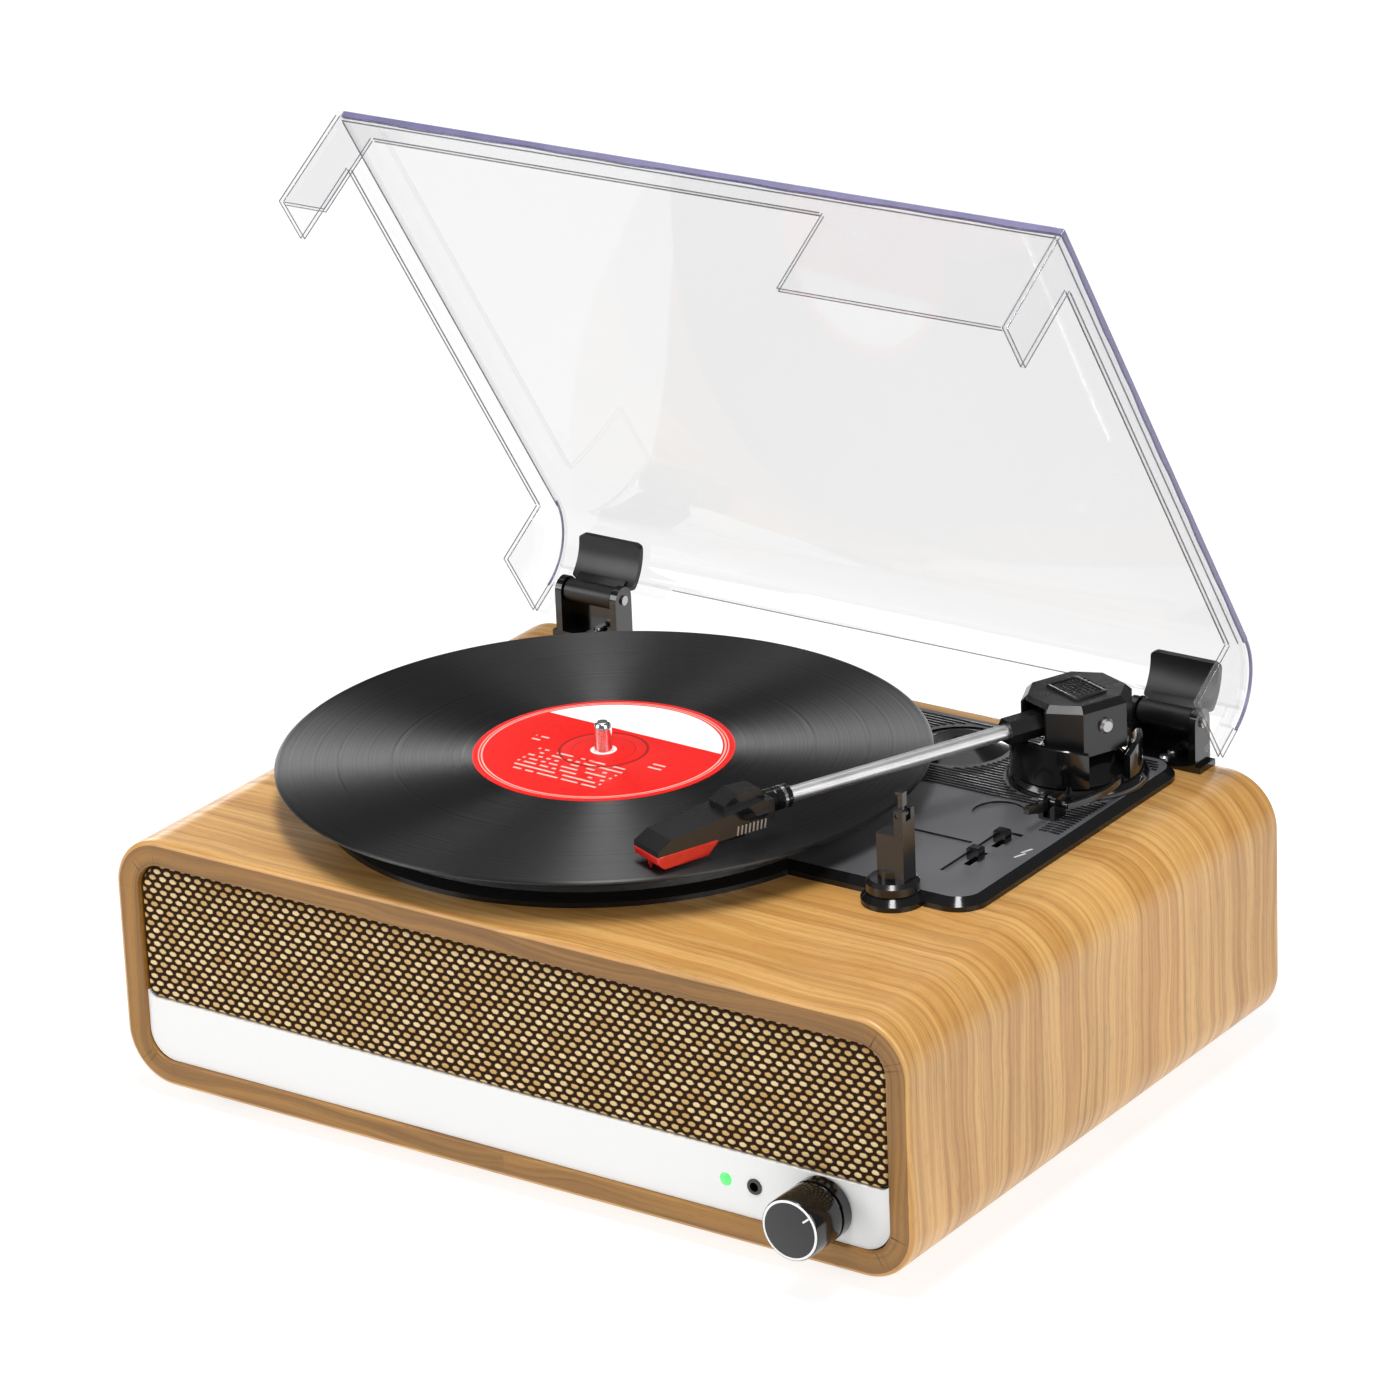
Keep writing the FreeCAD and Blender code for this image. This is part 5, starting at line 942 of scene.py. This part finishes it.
def plate(outline, low, high, edge=0.3, order=(2, 0, 1)):
    """Plate whose outline is drawn round the hinge line: in (y, z) with its thickness along X, or with its
    axes in another order."""
    signed = np.cross(outline, np.roll(outline, -1, 0)).sum()
    points, faces = slab(outline if signed > 0 else outline[::-1], low, high, edge, 2)
    return points[:, order], faces


def bend_between(high, low):
    """The bend's (y, z) outline between two levels, outer arc first."""
    parts = []
    for arc in (outer_bend, inner_bend):
        level = np.linspace(high, low, 12)
        parts.append(np.column_stack([np.interp(-level, -arc[:, 1], arc[:, 0]), level]))
    return np.vstack([parts[0], parts[1][::-1]])


upper = outer_bend[outer_bend[:, 1] > 12.4]
under = inner_bend[inner_bend[:, 1] > 12.4]
plate_end = bend_between(12.1, 12.1)[[0, -1]]
section = np.vstack([[(front_in, top_out)], upper, plate_end, under[::-1], [(front_in, top_in)]])
points, faces = plate(section, wall - side, side - wall, 0.06)
piece("cover_plate", opened(points), faces, sheet, "cover", "clear", ["dust_cover"])

profile = np.vstack([[(front_in, top_out)], outer_bend, [(back_out, tail_low), (-27.85, tail_low),
    (-27.85, cut_high), (-231.85, cut_high), (-231.85, skirt_low), (front_in, skirt_low)]])
walls = [plate(profile, low, low + wall - 0.05) for low in (-side, side - wall + 0.05)]
ends = side - wall - 0.05
apron = [(-ends, top_in), (ends, top_in), (ends, skirt_low), (64.05, skirt_low), (64.05, cut_high),
         (-139.05, cut_high), (-139.05, skirt_low), (-ends, skirt_low)]
walls.append(plate(np.array(apron), front_in, front_in + wall - 0.05, order=(0, 2, 1)))
for flip in (-1, 1):
    for low, high, foot in ((104.1, 152.9, 7.7), (153, ends, 4.0)):
        walls.append(plate(bend_between(12, foot), *sorted((flip * low, flip * high)), 0.05))
    walls.append(plate(np.array([(3.75, 3.98), (back_out, 3.98), (back_out, tail_low), (3.75, tail_low)]),
        *sorted((flip * 153, flip * ends)), 0.05))
points, faces = joined(*walls)
piece("cover_walls", opened(points), faces, rim, "cover", "clear")


def strip(start, end, size=(0.3, 0.3), wave=0.0):
    """Thin bar from a start to an end along one axis; its width swells and narrows by a wave in
    millimetres."""
    start, end = np.array(start, float), np.array(end, float)
    axis = int(np.argmax(abs(end - start)))
    one, two = [i for i in range(3) if i != axis]
    steps = 80
    at = np.linspace(0, 1, steps)
    swell = wave * (np.sin(at * 23 + start[one]) * 0.6 + np.sin(at * 61 + 1) * 0.4)
    centre = start + (end - start) * at[:, None]
    rings = []
    for a, b in ((-1, -1), (1, -1), (1, 1), (-1, 1)):
        corner = centre.copy()
        corner[:, one] += a * size[0] / 2
        corner[:, two] += b * (size[1] / 2 + swell * (b < 0))
        rings.append(corner)
    rings = np.stack(rings, 1)
    ends = [[3, 2, 1, 0], [4 * steps - 4 + i for i in range(4)]]
    return rings.reshape(-1, 3), lattice(steps, 4, False, True) + ends


def bend_line(x, wide):
    """Thin bar that follows the bend's outer arc at one x, half a millimetre inside it."""
    turn = np.radians(np.linspace(90, -2, 30))[:, None]
    reach = np.array([24.5, 24.5, 23.7, 23.7])
    across = np.broadcast_to(x + wide * np.array([-0.5, 0.5, 0.5, -0.5]), (30, 4))
    rings = np.stack([across, bend_y + reach * np.cos(turn), 4 + reach * np.sin(turn)], -1)
    return rings.reshape(-1, 3), lattice(30, 4, False, True) + [[3, 2, 1, 0], [116, 117, 118, 119]]


violet = [strip((-158, front_in + 0.9, 27.6), (160.7, front_in + 0.9, 27.6), (1.5, 2.4), 0.3),
    strip((side - 0.7, front_in + 1.8, 27.75), (side - 0.7, -19, 27.75), (1.1, 2.1), 0.3),
    bend_line(side - 0.7, 1.1), bend_line(0.7 - side, 0.6)]
points, faces = joined(*violet)
piece("cover_lit_edges", opened(points), faces, violet_edge, "cover", "clear", weld=False)

# Thin dark lines of painted shade: inside the top's edge, along the cut-outs, and down the corners.
inside, thick = side - wall - 0.3, (0.4, 0.4)
rim_low, rim_cut, rim_tail, rim_front = -17.7, 18.4, -9.7, front_in + 0.4
sides = (-side + 0.3, side - 0.3, -inside - 0.6, inside + 0.6)
lines = [strip((x, front_in + 3, top_in - 0.3), (x, -19, top_in - 0.3), thick) for x in (-inside, inside)]
lines += [strip((x, -231, rim_cut), (x, -28.5, rim_cut), thick) for x in sides]
lines.append(strip((-inside, front_in + 2.1, top_in - 0.4), (inside, front_in + 2.1, top_in - 0.4), thick))
lines += [strip((-138, y, rim_cut), (63, y, rim_cut), thick) for y in (rim_front, front_in + 2.0)]
lines += [strip((x, y, z), (x_1, y, z_1)) for y in (rim_front, front_in + 2.1) for (x, z), (x_1, z_1) in (
    ((-158, rim_low), (-139.3, rim_low)), ((64.3, rim_low), (158, rim_low)),
    ((-139.3, rim_low), (-139.3, rim_cut)), ((64.3, rim_low), (64.3, rim_cut)))]
lines += [strip((x, *start), (x, *end)) for x in sides for start, end in (
    ((rim_front, rim_low), (-232.1, rim_low)), ((-232.1, rim_low), (-232.1, rim_cut)),
    ((-27.6, rim_tail), (-27.6, rim_cut)), ((-27.6, rim_tail), (5.9, rim_tail)),
    ((5.7, rim_tail), (5.7, 4)), ((rim_front, rim_low), (rim_front, 26.4)))]
lines.append(strip((-103.8, 4.6, 12.3), (103.8, 4.6, 12.3)))
points, faces = joined(*lines)
piece("cover_shaded_edges", opened(points), faces, shaded_edge, "cover", "clear", weld=False)
